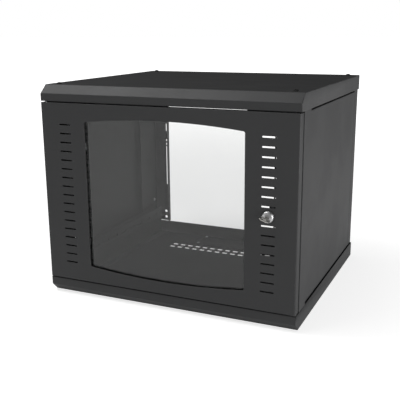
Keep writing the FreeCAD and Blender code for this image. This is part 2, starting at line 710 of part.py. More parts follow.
# ---------------------------------------------------------------- door
def make_door_frame():
    """The door leaf: a pan with returned lips, the arched window, and two columns of slots."""
    body = new_body("door_frame")
    pad(body, "XZ", [rectangle(-door_half, door_half, door_low, door_high)], door_front, door_back)
    round_edges(body, d.door_corner, lambda edge: is_along(edge, "Z")
                and abs(edge.Vertexes[0].Y - door_front.value) < 1e-6)
    wall = sheet_t
    pocket(body, "XZ", [rectangle(wall - door_half, door_half - wall, door_low + wall, door_high - wall)],
           door_skin, door_back - wall)
    lip = d.door_lip
    pocket(body, "XZ", [rectangle(lip - door_half, door_half - lip, door_low + lip, door_high - lip)],
           door_back - wall * 2, door_back + 1)
    pocket(body, "XZ", [ArchedWindow(window_half * 2, window_side, d.window_rise, window_middle)],
           door_front - 1, door_skin + 1)
    round_edges(body, d.window_corner, lambda edge: is_along(edge, "Y") and edge.Length < wall.value * 1.5
                and abs(abs(edge.Vertexes[0].X) - window_half.value) < 1e-6)
    pocket(body, "XZ", [Circle(lock_x, lock_z, barrel_hole)], door_front - 1, door_skin + 1)
    pocket(body, "XY", [Circle(hinge_x, hinge_y, pin_hole)], door_low - 1, door_low + wall * 2)
    pocket(body, "XY", [Circle(hinge_x, hinge_y, pin_hole)], door_high - wall * 2, door_high + 1)
    half_count = SLOTS_PER_COLUMN // 2
    runs = [(-1, -half_count, SLOTS_PER_COLUMN), (1, -half_count, half_count), (1, 1, half_count)]
    for side, first, count in runs:
        outline = slot_outline(side * slot_x, slot_middle + first * d.slot_pitch)
        slot = pocket(body, "XZ", [outline], door_front - 1, door_skin + 1)
        repeat(body, slot, "Z", count, d.slot_pitch)


def slot_outline(x, z):
    """A ventilation slot with bevelled ends."""
    length, half = d.slot_length / 2, d.slot_width / 2
    nip = half / 2
    return [(x - length, z - nip), (x - length + nip, z - half), (x + length - nip, z - half),
            (x + length, z - nip), (x + length, z + nip), (x + length - nip, z + half),
            (x - length + nip, z + half), (x - length, z + nip)]


def make_glazing():
    """The toughened pane and the gasket that it is pressed against."""
    glass = new_body("door_glass")
    outline = rectangle(-glass_half, glass_half, door_middle - glass_reach, door_middle + glass_reach)
    pad(glass, "XZ", [outline], glass_front, glass_back)
    gasket = new_body("glass_gasket")
    pad(gasket, "XZ", [outline], door_skin, glass_front)
    extra = d.gasket_reveal * 2
    pocket(gasket, "XZ", [ArchedWindow(window_half * 2 + extra, window_side + extra, d.window_rise,
                                       window_middle)], door_skin - 1, glass_front + 1)


def make_stiffeners():
    """Four hat channels behind the door skin, which frame the glass."""
    low, high = door_low + sheet_t, door_high - sheet_t
    for name, side in SIDES.items():
        body = new_body(f"door_stiffener_{name}")
        outer = stiffener_x + d.stiffener_width
        path = [(side * stiffener_x, door_skin), (side * stiffener_x, glass_back),
                (side * outer, glass_back), (side * outer, door_skin)]
        pad(body, "XY", [folded(path, -sheet_t * side)], low, high)
        heights = [door_middle + step * d.clip_spacing for step in (-1, 1)]
        pocket(body, "XZ", [Circle(side * clip_screw_x, z, d.clip_screw + d.hole_clearance)
                            for z in heights], glass_back - sheet_t * 2, glass_back + 1)
    for name, side in (("bottom", -1), ("top", 1)):
        body = new_body(f"door_stiffener_{name}")
        inner = door_middle + side * stiffener_z
        outer = door_high - sheet_t if side > 0 else door_low + sheet_t
        path = [(door_skin, inner), (glass_back, inner), (glass_back, outer), (door_skin, outer)]
        pad(body, "YZ", [folded(path, sheet_t * side)], -stiffener_x, stiffener_x)
        pocket(body, "XZ", [Circle(step * d.clip_offset, (inner + outer) / 2,
                                   d.clip_screw + d.hole_clearance) for step in (-1, 1)],
               glass_back - sheet_t * 2, glass_back + 1)


def make_glass_clips():
    """Flat clips that hold the pane's edge against the gasket."""
    clip_back = glass_back + sheet_t
    half = d.clip_width / 2
    end_width = door_high - sheet_t - door_middle - stiffener_z
    end_reach = stiffener_z + end_width / 2
    spots = [(side, 0, side * clip_screw_x, door_middle + step * d.clip_spacing)
             for side in (-1, 1) for step in (-1, 1)]
    spots += [(0, side, step * d.clip_offset, door_middle + side * end_reach)
              for side in (-1, 1) for step in (-1, 1)]
    clips, screws = [], []
    for index, (across, up, x, z) in enumerate(spots):
        reach = (d.stiffener_width if across else end_width) / 2
        inner_end = reach + d.stiffener_clearance + d.clip_lap
        outer_end = reach - sheet_t
        low_end = inner_end if across + up > 0 else outer_end
        if across:
            low, sizes = (x - low_end, glass_back, z - half), (inner_end + outer_end, sheet_t, d.clip_width)
        else:
            low, sizes = (x - half, glass_back, z - low_end), (d.clip_width, sheet_t, inner_end + outer_end)
        plate = box(f"glass_clip_{index}_plate", low, sizes)
        hole = cylinder(f"glass_clip_{index}_hole", (x, glass_back - 1, z), "+Y",
                        d.clip_screw + d.hole_clearance, sheet_t + 2)
        clips.append(cut(f"glass_clip_{index}", plate, hole))
        screws.append(screw(f"clip_screw_{index}", (x, clip_back, z), "-Y", d.clip_screw,
                            sheet_t * 3, d.clip_screw_head, d.clip_screw_rise))
    group("glass_clips", clips)
    group("glass_clip_screws", screws)


# ---------------------------------------------------------------- door hinge
def make_hinge_plate(level):
    """A thick plate that backs the cover's lip where the hinge pin passes through it."""
    body = new_body(f"hinge_plate_{level}")
    left = sheet_t - half_width
    low = cap_underside + sheet_t if level == "top" else d.base_height - sheet_t - d.plate_thickness
    pad(body, "XY", [rectangle(left, left + d.plate_length, front + sheet_t, lip_back)],
        low, low + d.plate_thickness)
    pocket(body, "XY", [Circle(hinge_x, hinge_y, pin_hole)], low - 1, low + d.plate_thickness + 1)


def make_hinge_bracket(level):
    """A folded bracket in the door's corner, with ears that the hinge pin passes through."""
    body = new_body(f"hinge_bracket_{level}")
    wall = sheet_t - door_half
    ear = hinge_x + d.bracket_width / 2
    if level == "top":
        start = door_high - sheet_t
        end = start - d.bracket_drop - d.bracket_sheet
        path = [(ear, end), (wall, end), (wall, start), (ear, start)]
        section = folded(path, -d.bracket_sheet)
    else:
        start = door_low + sheet_t
        section = folded([(ear, start), (wall, start), (wall, start + d.bracket_drop)], -d.bracket_sheet)
    half = d.bracket_width / 2
    pad(body, "XZ", [section], hinge_y - half, hinge_y + half)
    pocket(body, "XY", [Circle(hinge_x, hinge_y, pin_hole)], door_low, door_high)


def make_lower_pin():
    """The fixed pin that the door stands on, with its washer."""
    plate_low = d.base_height - sheet_t - d.plate_thickness
    washer_top = door_low - d.washer_gap
    radius, head = d.pin_diameter / 2, d.knob_diameter / 2
    pin = new_body("hinge_pin_bottom")
    top = door_low + sheet_t + d.bracket_sheet * 2
    revolve(pin, "XZ", [(0, plate_low - sheet_t), (head, plate_low - sheet_t), (head, plate_low),
                     (radius, plate_low), (radius, top), (radius - 1, top + 1), (0, top + 1)])
    place(pin, hinge_x, hinge_y, 0)
    washer = new_body("hinge_washer")
    outline = [Circle(hinge_x, hinge_y, d.washer_diameter), Circle(hinge_x, hinge_y, pin_hole)]
    pad(washer, "XY", outline, d.base_height, washer_top)


def make_upper_pin():
    """The sprung pin: pulled down by its knob it leaves the top cover and frees the door."""
    lower_ear = door_high - sheet_t - d.bracket_drop - d.bracket_sheet
    collar_low = door_high - sheet_t - d.collar_drop
    collar_high = collar_low + d.bracket_sheet
    knob_top = lower_ear - d.knob_gap
    tip = cap_underside + d.pin_reach
    radius, collar, knob = d.pin_diameter / 2, d.collar_diameter / 2, d.knob_diameter / 2
    pin = new_body("hinge_pin_top")
    revolve(pin, "XZ", [(0, knob_top - d.knob_height), (knob - 1, knob_top - d.knob_height),
                     (knob, knob_top - d.knob_height + 1), (knob, knob_top), (radius, knob_top),
                     (radius, collar_low), (collar, collar_low), (collar, collar_high),
                     (radius, collar_high), (radius, tip - 1), (radius - 1, tip), (0, tip)])
    place(pin, hinge_x, hinge_y, 0)
    spring_low = lower_ear + d.bracket_sheet
    height = collar_low - spring_low - d.spring_wire
    spring = new_body("hinge_spring")
    helix = spring.newObject("PartDesign::AdditiveHelix", "hinge_spring_coil")
    bore = d.pin_diameter / 2 + d.spring_clearance
    wire = rectangle(bore, bore + d.spring_wire, spring_low, spring_low + d.spring_wire)
    profile = sketch_on(spring, "XZ", 0, [wire])
    helix.Profile = profile
    helix.ReferenceAxis = (profile, ["V_Axis"])
    helix.Mode = "height-turns-angle"
    bind(helix, "Height", height)
    bind(helix, "Turns", d.spring_turns)
    spring.Tip = helix
    place(spring, hinge_x, hinge_y, 0)


# ---------------------------------------------------------------- cam lock
def make_lock_housing():
    """The bevelled bezel and its barrel, held by a hexagon nut behind the door skin."""
    body = new_body("lock_housing")
    face, back = door_front - d.bezel_height, door_front + d.barrel_length
    bore, barrel, bezel = plug_bore / 2, d.barrel_diameter / 2, d.bezel_diameter / 2
    bevel = d.bezel_bevel
    revolve(body, "XY", [(bore, face), (bezel - bevel, face), (bezel, face + bevel), (bezel, door_front),
                   (barrel, door_front), (barrel, back), (bore, back)])
    place(body, lock_x, 0, lock_z)
    nut = new_body("lock_nut")
    pad(nut, "XZ", [hexagon(lock_x, lock_z, d.nut_flats), Circle(lock_x, lock_z, barrel_hole)],
        door_skin, door_skin + d.nut_height)


def tilted_rectangle(u, v, width, height, degrees):
    """A rectangle about (u, v) turned clockwise by `degrees`."""
    cos, sin = math.cos(math.radians(degrees)), math.sin(math.radians(degrees))
    return [(u + width / 2 * (a * cos) + height / 2 * (b * sin),
             v - width / 2 * (a * sin) + height / 2 * (b * cos))
            for a, b in ((-1, -1), (1, -1), (1, 1), (-1, 1))]


def make_lock_plug():
    """The turning plug with its keyway and the square tang that drives the cam."""
    body = new_body("lock_plug")
    face = door_front - d.bezel_height - d.plug_stand
    back = door_front + d.barrel_length + d.plug_tail
    pad(body, "XZ", [Circle(lock_x, lock_z, d.plug_diameter)], face, back)
    half = d.cam_square / 2
    pad(body, "XZ", [rectangle(lock_x - half, lock_x + half, lock_z - half, lock_z + half)],
        back, back + d.cam_thickness)
    keyway = tilted_rectangle(lock_x, lock_z, d.keyway_height, d.keyway_width, KEY_TILT_DEGREES)
    pocket(body, "XZ", [keyway], face - 1, face + d.keyway_depth)
    bore = d.cam_screw_diameter + d.cam_play
    pocket(body, "XZ", [Circle(lock_x, lock_z, bore)], back - d.cam_square, back + d.cam_thickness + 1)


def make_lock_cam():
    """The cam, upright while the door is free, and the screw that holds it on the tang."""
    body = new_body("lock_cam")
    low = door_front + d.barrel_length + d.plug_tail
    high = low + d.cam_thickness
    half, nip = d.cam_width / 2, d.cam_width / 4
    tip = lock_z + d.cam_reach
    corners = [(lock_x - half, lock_z - nip), (lock_x - nip, lock_z - half), (lock_x + nip, lock_z - half),
               (lock_x + half, lock_z - nip), (lock_x + half, tip - nip), (lock_x + nip, tip),
               (lock_x - nip, tip), (lock_x - half, tip - nip)]
    pad(body, "XZ", [corners], low, high)
    square = d.cam_square / 2 + d.cam_play
    pocket(body, "XZ", [rectangle(lock_x - square, lock_x + square, lock_z - square, lock_z + square)],
           low - 1, high + 1)
    fixing = screw("cam_screw_solid", (lock_x, high, lock_z), "-Y", d.cam_screw_diameter,
                   d.cam_thickness + d.cam_square - 1, d.cam_screw_head, d.cam_screw_rise)
    group("cam_screw", [fixing])


def make_key():
    """A flat key: rounded bow with a ring hole, neck, and a blade that fills the keyway."""
    body = new_body("key")
    blade = d.keyway_height / 2 - d.key_play
    half_thickness = d.keyway_width / 2 - d.key_play
    face = door_front - d.bezel_height - d.plug_stand
    tip = face + d.keyway_depth - d.key_play * 5
    shoulder = face - d.key_neck
    end, bow = shoulder - d.key_bow_length, d.key_bow_width / 2
    nip = d.key_bow_length / 4
    outline = [(-blade, tip - blade), (-blade / 2, tip), (blade / 2, tip), (blade, tip - blade),
               (blade, shoulder), (bow - nip, shoulder), (bow, shoulder - nip), (bow, end + nip),
               (bow - nip, end), (nip - bow, end), (-bow, end + nip), (-bow, shoulder - nip),
               (nip - bow, shoulder), (-blade, shoulder)]
    pad(body, "XY", [outline], -half_thickness, half_thickness)
    pocket(body, "XY", [Circle(0, end + d.key_hole, d.key_hole)], -half_thickness * 2, half_thickness * 2)
    tilt = FreeCAD.Rotation(FreeCAD.Vector(0, 1, 0), KEY_TILT_DEGREES)
    body.Placement = FreeCAD.Placement(FreeCAD.Vector(), tilt)
    place(body, lock_x, 0, lock_z)


# ---------------------------------------------------------------- small parts
def make_door_seals():
    """Foam strips under the top cover's lip, on both sides of the window."""
    strips = []
    seal_inner, seal_outer = window_half + d.seal_window_gap, -hinge_x - d.seal_hinge_gap
    seal_height = d.door_gap_top - d.seal_play
    for name, side in SIDES.items():
        low_x = seal_inner if side > 0 else -seal_outer
        strips.append(box(f"door_edge_seal_{name}", (low_x, front + d.seal_set_back,
                                                     cap_underside - seal_height),
                          (seal_outer - seal_inner, d.seal_width, seal_height)))
    group("door_edge_seals", strips)


def make_door_bumpers():
    """Two rubber buffers on the lock side's post, just short of the closed door."""
    thickness = d.door_post_gap - d.bumper_gap
    group("door_bumpers",
          [cylinder(f"door_bumper_{index}", (half_width - d.bumper_side, post_front, z), "-Y",
                    d.bumper_diameter, thickness)
           for index, z in enumerate((door_low + d.bumper_inset, door_high - d.bumper_inset))])


def make_earth_stud():
    """The threaded earthing stud on the floor and its nut."""
    x, y = rail_x - d.earth_side, rear - d.earth_rear
    shank = cylinder("earth_stud_shank", (x, y, sheet_t), "+Z", d.earth_thread, d.earth_length)
    flange = cylinder("earth_stud_flange", (x, y, sheet_t), "+Z", d.earth_thread * 2, sheet_t)
    stud = doc.addObject("Part::MultiFuse", "earth_stud_solid")
    stud.Shapes = [shank, flange]
    group("earth_stud", [stud])
    nut = new_body("earth_nut")
    pad(nut, "XY", [hexagon(x, y, d.earth_nut_flats), Circle(x, y, d.earth_thread + d.pin_clearance * 2)],
        sheet_t * 2, sheet_t * 2 + d.earth_nut_height)


# ---------------------------------------------------------------- build and export
def export_parts():
    """Check every object, then write each sub-part to its own STEP file."""
    doc.recompute()
    for obj in doc.Objects:
        if any(word in state for state in obj.State for word in ("Invalid", "Error")):
            raise ValueError(f"{obj.Label}: {obj.State}")
    os.makedirs("parts", exist_ok=True)
    kinds = ("PartDesign::Body", "Part::Compound")
    for obj in [candidate for candidate in doc.Objects if candidate.TypeId in kinds]:
        if obj.Shape.isNull() or not obj.Shape.isValid() or not obj.Shape.Solids:
            raise ValueError(f"{obj.Label} has no sound shape")
        obj.Shape.exportStep(f"parts/{obj.Label}.step")
        box_size = obj.Shape.BoundBox
        print(f"{obj.Label}: {len(obj.Shape.Solids)} solids, "
              f"{box_size.XLength:.1f} x {box_size.YLength:.1f} x {box_size.ZLength:.1f}")


def main():
    make_top_cover()
    make_bottom_cover()
    make_entry_cover()
    make_cap_plugs()
    for name, side in SIDES.items():
        make_front_post(name, side)
        make_rear_post(name, side)
        make_side_panel(name, side)
        make_rack_rail(name, side)
        for level in ("top", "bottom"):
            make_side_beam(name, side, level)
            make_rail_bracket(name, side, level)
    make_rear_beam()
    make_rail_fixings()
    make_panel_screws()
    make_door_frame()
    make_glazing()
    make_stiffeners()
    make_glass_clips()
    for level in ("top", "bottom"):
        make_hinge_plate(level)
        make_hinge_bracket(level)
    make_lower_pin()
    make_upper_pin()
    make_lock_housing()
    make_lock_plug()
    make_lock_cam()
    make_key()
    make_door_seals()
    make_door_bumpers()
    make_earth_stud()
    export_parts()


main()
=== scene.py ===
"""Finished look of the wall-mount network cabinet: coatings, fine parts, studio and camera.

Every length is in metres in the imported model's frame: +Z up, the door faces -Y, and the origin is the
centre of the footprint on the underside of the bottom cover.
"""

import logging
import math
from dataclasses import dataclass, field
from enum import Enum
from typing import Callable, Optional, Sequence, Union

import bmesh
import bpy
import numpy as np
from mathutils import Matrix, Vector
from mathutils.bvhtree import BVHTree


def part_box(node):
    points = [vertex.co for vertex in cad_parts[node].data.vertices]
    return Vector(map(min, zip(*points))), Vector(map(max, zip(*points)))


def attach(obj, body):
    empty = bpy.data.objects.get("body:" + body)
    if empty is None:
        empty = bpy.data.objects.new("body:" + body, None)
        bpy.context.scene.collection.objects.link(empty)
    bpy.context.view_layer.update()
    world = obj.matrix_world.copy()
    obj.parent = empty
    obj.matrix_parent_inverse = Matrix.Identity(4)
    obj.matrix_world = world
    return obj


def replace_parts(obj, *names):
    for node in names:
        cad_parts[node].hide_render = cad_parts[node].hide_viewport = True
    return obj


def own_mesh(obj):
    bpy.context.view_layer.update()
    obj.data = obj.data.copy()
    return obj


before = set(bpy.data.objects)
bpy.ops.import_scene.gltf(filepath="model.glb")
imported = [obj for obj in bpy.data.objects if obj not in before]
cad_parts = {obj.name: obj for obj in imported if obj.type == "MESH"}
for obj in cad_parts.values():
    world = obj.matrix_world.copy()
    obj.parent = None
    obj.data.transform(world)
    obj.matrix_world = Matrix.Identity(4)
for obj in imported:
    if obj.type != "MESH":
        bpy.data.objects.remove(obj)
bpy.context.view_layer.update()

log = logging.getLogger("cabinet")
MM = 0.001
FULL_TURN = 2.0 * np.pi
SAME_POINT = 1e-7         # points of a new surface nearer than this are one
SAME_CORNER = 1e-6        # corners of a CAD node nearer than this are one
CREASE = 40.0             # degrees; a new surface stays crisp where it turns more
FOLD = math.radians(28)   # a CAD edge that turns more is a bend or a cut
INSET = 0.3 * MM          # how far inside an edge the test for cuts starts
ANY_EDGE = 0.1 * MM       # a sheet so thin that no edge counts as a cut
SIDES = ("left", "right")
WHITE = (1.0, 1.0, 1.0, 1.0)
Socket = bpy.types.NodeSocket
Colour = tuple[float, float, float]
Grid = tuple[np.ndarray, list[list[int]]]


# ---------------------------------------------------------------- meshes from arrays
def linked(name: str, data: bpy.types.ID) -> bpy.types.Object:
    """Put data into a new object of the scene.

    Args:
        name: The object's name.
        data: Its mesh, lamp or camera.

    Returns:
        The object.
    """
    thing = bpy.data.objects.new(name, data)
    bpy.context.scene.collection.objects.link(thing)
    return thing


def merged(mesh: bpy.types.Mesh, gap: float) -> bmesh.types.BMesh:
    """Open a mesh for editing, with its doubles merged.

    Args:
        mesh: The mesh to open.
        gap: Points nearer than this become one.

    Returns:
        The open mesh, to be freed by the caller.
    """
    tidy = bmesh.new()
    tidy.from_mesh(mesh)
    bmesh.ops.remove_doubles(tidy, verts=tidy.verts, dist=gap)
    return tidy


def mesh_object(name: str, verts: np.ndarray, faces: list[list[int]],
                smooth: float = CREASE) -> bpy.types.Object:
    """Put arrays of points and faces into a new object at the origin.

    Args:
        name: The object's name.
        verts: Points as an (n, 3) array, in metres.
        faces: Corner numbers of each face.
        smooth: Edges sharper than this angle in degrees stay crisp.

    Returns:
        The object, linked to the scene.
    """
    mesh = bpy.data.meshes.new(name)
    mesh.from_pydata(verts.tolist(), [], faces)
    mesh.update()
    tidy = merged(mesh, SAME_POINT)
    bmesh.ops.recalc_face_normals(tidy, faces=tidy.faces)
    limit = math.radians(smooth)
    for edge in tidy.edges:
        edge.smooth = len(edge.link_faces) == 2 and edge.calc_face_angle(0.0) < limit
    for face in tidy.faces:
        face.smooth = True
    tidy.to_mesh(mesh)
    tidy.free()
    return linked(name, mesh)


def ring_faces(rings: int, steps: int, capped: bool = False) -> list[list[int]]:
    """Number the corners of the faces between rings of points that close on themselves.

    Args:
        rings: Number of rings.
        steps: Points round each ring.
        capped: True to close the first and the last ring with a flat face.

    Returns:
        Point numbers of each face.
    """
    i, j = np.meshgrid(np.arange(rings - 1), np.arange(steps), indexing="ij")
    after = (j + 1) % steps
    cells = [i * steps + j, i * steps + after, (i + 1) * steps + after, (i + 1) * steps + j]
    faces = np.stack(cells, axis=-1).reshape(-1, 4).tolist()
    if capped:
        faces += [list(range(steps))[::-1], list(range((rings - 1) * steps, rings * steps))]
    return faces


def angles(steps: int) -> np.ndarray:
    """Evenly spaced angles round a full turn, in radians."""
    return np.linspace(0.0, FULL_TURN, steps, endpoint=False)


def revolved(reach: np.ndarray, height: np.ndarray, turn: np.ndarray, capped: bool = False) -> Grid:
    """Place rings of points about the Z axis: x = r cos t, y = r sin t, z = h.

    Args:
        reach: Radius of each point, or a column with one radius for each ring.
        height: Height of each point, or a column with one height for each ring.
        turn: Angle of the points round the axis.
        capped: True to close both ends with a flat face.

    Returns:
        Points and faces. A surface that starts or ends on the axis closes there when doubles merge.
    """
    points = np.stack(np.broadcast_arrays(reach * np.cos(turn), reach * np.sin(turn), height), axis=-1)
    return points.reshape(-1, 3), ring_faces(*points.shape[:2], capped)


def stacked(rings: Sequence[tuple[float, Union[float, np.ndarray]]], turn: np.ndarray) -> Grid:
    """Join rings about +Z, each a height and one radius or a radius for each angle."""
    height = np.array([[level] for level, _ in rings])
    return revolved(np.stack([np.broadcast_to(radius, turn.shape) for _, radius in rings]), height, turn)


def turned(profile: Sequence[tuple[float, float]], steps: int = 40) -> Grid:
    """Turn a profile of pairs (radius, height) about the Z axis."""
    radius, height = np.asarray(profile, float).T[..., None]
    return revolved(radius, height, angles(steps))


def rounded_profile(corners: Sequence[tuple[float, float, float]],
                    steps: int = 5) -> list[tuple[float, float]]:
    """Round the corners of a profile with quadratic arcs: (1-s)^2 A + 2s(1-s) B + s^2 C.

    Args:
        corners: Triples (radius, height, rounding); a rounding of 0 keeps the corner.
        steps: Points on each rounded corner.

    Returns:
        Pairs (radius, height).
    """
    points = np.asarray(corners, float)
    longest = 0.49   # of an edge, so that the roundings at its two ends stay apart
    s = np.linspace(0.0, 1.0, steps)[:, None]
    result: list[tuple[float, float]] = []
    for index, (radius, height, rounding) in enumerate(points):
        here = points[index, :2]
        if rounding <= 0 or index in (0, len(points) - 1):
            result.append((radius, height))
            continue
        ways = [points[index + step, :2] - here for step in (-1, 1)]
        start, end = (here + way / np.linalg.norm(way) * min(rounding, np.linalg.norm(way) * longest)
                      for way in ways)
        arc = (1 - s) ** 2 * start + 2 * s * (1 - s) * here + s ** 2 * end
        result += [tuple(point) for point in arc]
    return result


def joined(parts: Sequence[Grid]) -> Grid:
    """Gather several meshes into one.

    Args:
        parts: Points and faces of each.

    Returns:
        Points and faces of all.
    """
    faces, first = [], 0
    for points, cells in parts:
        faces += [[corner + first for corner in cell] for cell in cells]
        first += len(points)
    return np.concatenate([points for points, _ in parts]), faces


def set_at(part: Grid, place: Sequence[float], direction: Sequence[float] = (0, 0, 1),
           spin: float = 0.0) -> Grid:
    """Turn a mesh's +Z to a direction and carry it to a place.

    Args:
        part: Points and faces about the origin.
        place: Where the origin goes, in metres.
        direction: Where +Z points.
        spin: A first turn about +Z, in degrees.

    Returns:
        The moved points and the same faces.
    """
    turn = Vector(direction).to_track_quat("Z", "Y").to_matrix() @ Matrix.Rotation(math.radians(spin), 3, "Z")
    return part[0] @ np.array(turn).T + np.asarray(place, float), part[1]


def tube(path: np.ndarray, radius: float, steps: int) -> Grid:
    """Carry a circle along an open path with the least twist, and close its ends.

    Each ring is centre + r (cos t) N + r (sin t) B, where the tangent T comes from central differences
    and N is the last ring's normal less its part along T.

    Args:
        path: Centres as an (n, 3) array that doesn't start along Z.
        radius: The tube's radius.
        steps: Points round the tube.

    Returns:
        Points and faces.
    """
    tangents = np.gradient(path, axis=0)
    tangents /= np.linalg.norm(tangents, axis=1)[:, None]
    normal, normals = np.cross(tangents[0], (0.0, 0.0, 1.0)), np.empty_like(path)
    for index, tangent in enumerate(tangents):
        normal = normal - tangent * np.dot(normal, tangent)
        normal /= np.linalg.norm(normal)
        normals[index] = normal
    turn = angles(steps)[None, :, None]
    across = np.cross(tangents, normals)[:, None, :]
    points = path[:, None, :] + radius * (np.cos(turn) * normals[:, None, :] + np.sin(turn) * across)
    return points.reshape(-1, 3), ring_faces(len(path), steps, capped=True)


class Drive(Enum):
    """What a screwdriver or key fits in a screw's head."""
    CROSS = "cross recess"
    HEXAGON = "hexagon socket"


def domed_head(radius: float, rise: float, drive: Drive, rings: int = 12, steps: int = 48) -> Grid:
    """A screw head as a height over the disc, with its drive pressed in.

    The height is 0.35 h + 0.65 h (1 - (r/R)^4).  A cross recess lowers it where the nearer of |x| and |y|
    is inside the blade's width, and a hexagon recess where the distance to the flats is inside the key's
    width; both fade in over a narrow band.

    Args:
        radius: The head's radius R.
        rise: The head's height h.
        drive: The kind of recess.
        rings: Points from the middle to the rim.
        steps: Points round the head.

    Returns:
        Points and faces of the crown, the side and the flat underside at z = 0.
    """
    side, crown, recess = 0.35 * rise, 0.65 * rise, 0.55 * rise
    blade, tip, key, band = 0.17 * radius, 0.62 * radius, 0.5 * radius, 0.06 * radius
    share = np.linspace(0.0, 1.0, rings)[:, None] ** 0.8
    turn = angles(steps)
    x, y = radius * share * np.cos(turn), radius * share * np.sin(turn)
    if drive is Drive.CROSS:
        across, along = np.minimum(np.abs(x), np.abs(y)) / blade, np.maximum(np.abs(x), np.abs(y)) / tip
        depth = np.clip(1.6 - across * 1.2, 0, 1) * np.clip((1.0 - along) * 3.0, 0, 1)
    else:
        flats = np.max([np.abs(x * math.cos(a) + y * math.sin(a)) for a in np.radians([0, 60, 120])], axis=0)
        depth = np.clip((key - flats) / band, 0, 1)
    height = side + crown * (1 - share ** 4) - recess * depth
    reach = np.concatenate([radius * share, [[radius], [0.0]]])
    return revolved(reach, np.concatenate([height, np.zeros((2, steps))]), turn)


def below_crest(height: np.ndarray, turn: np.ndarray, pitch: float) -> np.ndarray:
    """Depth of a helical thread, 0 at its crest to 1: |2 f - 1| with f = (z / pitch - t / 2 pi) mod 1."""
    return np.abs(2.0 * ((height / pitch - turn / FULL_TURN) % 1.0) - 1.0)


def thread(radius: float, pitch: float, depth: float, low: float, high: float, steps: int = 24) -> Grid:
    """A threaded shank about +Z: r = R - depth * below_crest(z, t), which runs out at the upper end.

    Args:
        radius: The crest's radius R.
        pitch: Rise of one turn.
        depth: Depth of the groove.
        low: Height of the lower end.
        high: Height of the upper end.
        steps: Points round the shank.

    Returns:
        Points and faces with both ends closed.
    """
    z = np.linspace(low, high, max(8, int((high - low) / pitch * 6)))[:, None]
    turn = angles(steps)
    fade = np.clip((high - z) / pitch, 0, 1)
    reach = radius - depth * below_crest(z, turn, pitch) * fade - depth * (1.0 - fade)
    return revolved(reach, z, turn, capped=True)


# ---------------------------------------------------------------- steel copies with real bends
class Fold(Enum):
    """How an edge of a sheet-metal solid is finished."""
    OUTER = 1.0
    INNER = 0.25
    CUT = 0.0


def edge_kind(edge: bmesh.types.BMEdge, solid: BVHTree, sheet: float) -> Fold:
    """Tell a bend from a cut edge by how far the steel runs on inside from the edge.

    From a point just inside the edge, a ray runs along each of its two faces. Where either ray leaves the
    steel within the sheet's thickness, that face is the cut through the sheet.

    Args:
        edge: The edge to judge.
        solid: The solid's faces.
        sheet: Length up to which a face counts as a cut.

    Returns:
        An outer or inner bend, or a cut.
    """
    if len(edge.link_faces) != 2 or edge.calc_length() < sheet or edge.calc_face_angle(0.0) < FOLD:
        return Fold.CUT
    if not edge.is_convex:
        return Fold.INNER
    first, second = (face.normal for face in edge.link_faces)
    start = (edge.verts[0].co + edge.verts[1].co) / 2 - (first + second).normalized() * INSET
    for normal, other in ((first, second), (second, first)):
        reach = solid.ray_cast(start, (other.dot(normal) * normal - other).normalized())[3]
        if reach is not None and reach < sheet:
            return Fold.CUT
    return Fold.OUTER


def bent_copy(node: str, radius: float, sheet: float = 2.05 * MM, arris: float = 0.0) -> bpy.types.Object:
    """Copy a CAD solid and round its bends, as a press brake leaves them.

    Args:
        node: The CAD node to copy, which the copy then stands for.
        radius: Outside radius of the bends.
        sheet: Thickness up to which a face counts as a cut edge.
        arris: Radius on every other sharp edge.

    Returns:
        The finished copy.
    """
    flat, segments = math.radians(0.5), 3
    tidy = merged(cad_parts[node].data, SAME_CORNER)
    bmesh.ops.dissolve_limit(tidy, angle_limit=flat, verts=tidy.verts, edges=tidy.edges)
    solid = BVHTree.FromBMesh(tidy)
    weight = tidy.edges.layers.float.new("bevel_weight_edge")
    for edge in tidy.edges:
        sharp = len(edge.link_faces) == 2 and edge.calc_face_angle(0.0) > FOLD
        kind = edge_kind(edge, solid, sheet)
        edge[weight] = kind.value if kind is not Fold.CUT else (arris / radius if sharp else 0.0)
        edge.smooth = not sharp or edge[weight] > 0
    for face in tidy.faces:
        face.smooth = True
    mesh = bpy.data.meshes.new(f"{node}_bent")
    tidy.to_mesh(mesh)
    tidy.free()
    piece = linked(f"{node}_bent", mesh)
    bends = piece.modifiers.new("bends", "BEVEL")
    bends.limit_method, bends.offset_type = "WEIGHT", "OFFSET"
    bends.width, bends.segments, bends.use_clamp_overlap = radius, segments, False
    even = piece.modifiers.new("even_shading", "WEIGHTED_NORMAL")
    even.keep_sharp, even.weight = True, 100
    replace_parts(piece, node)
    return piece


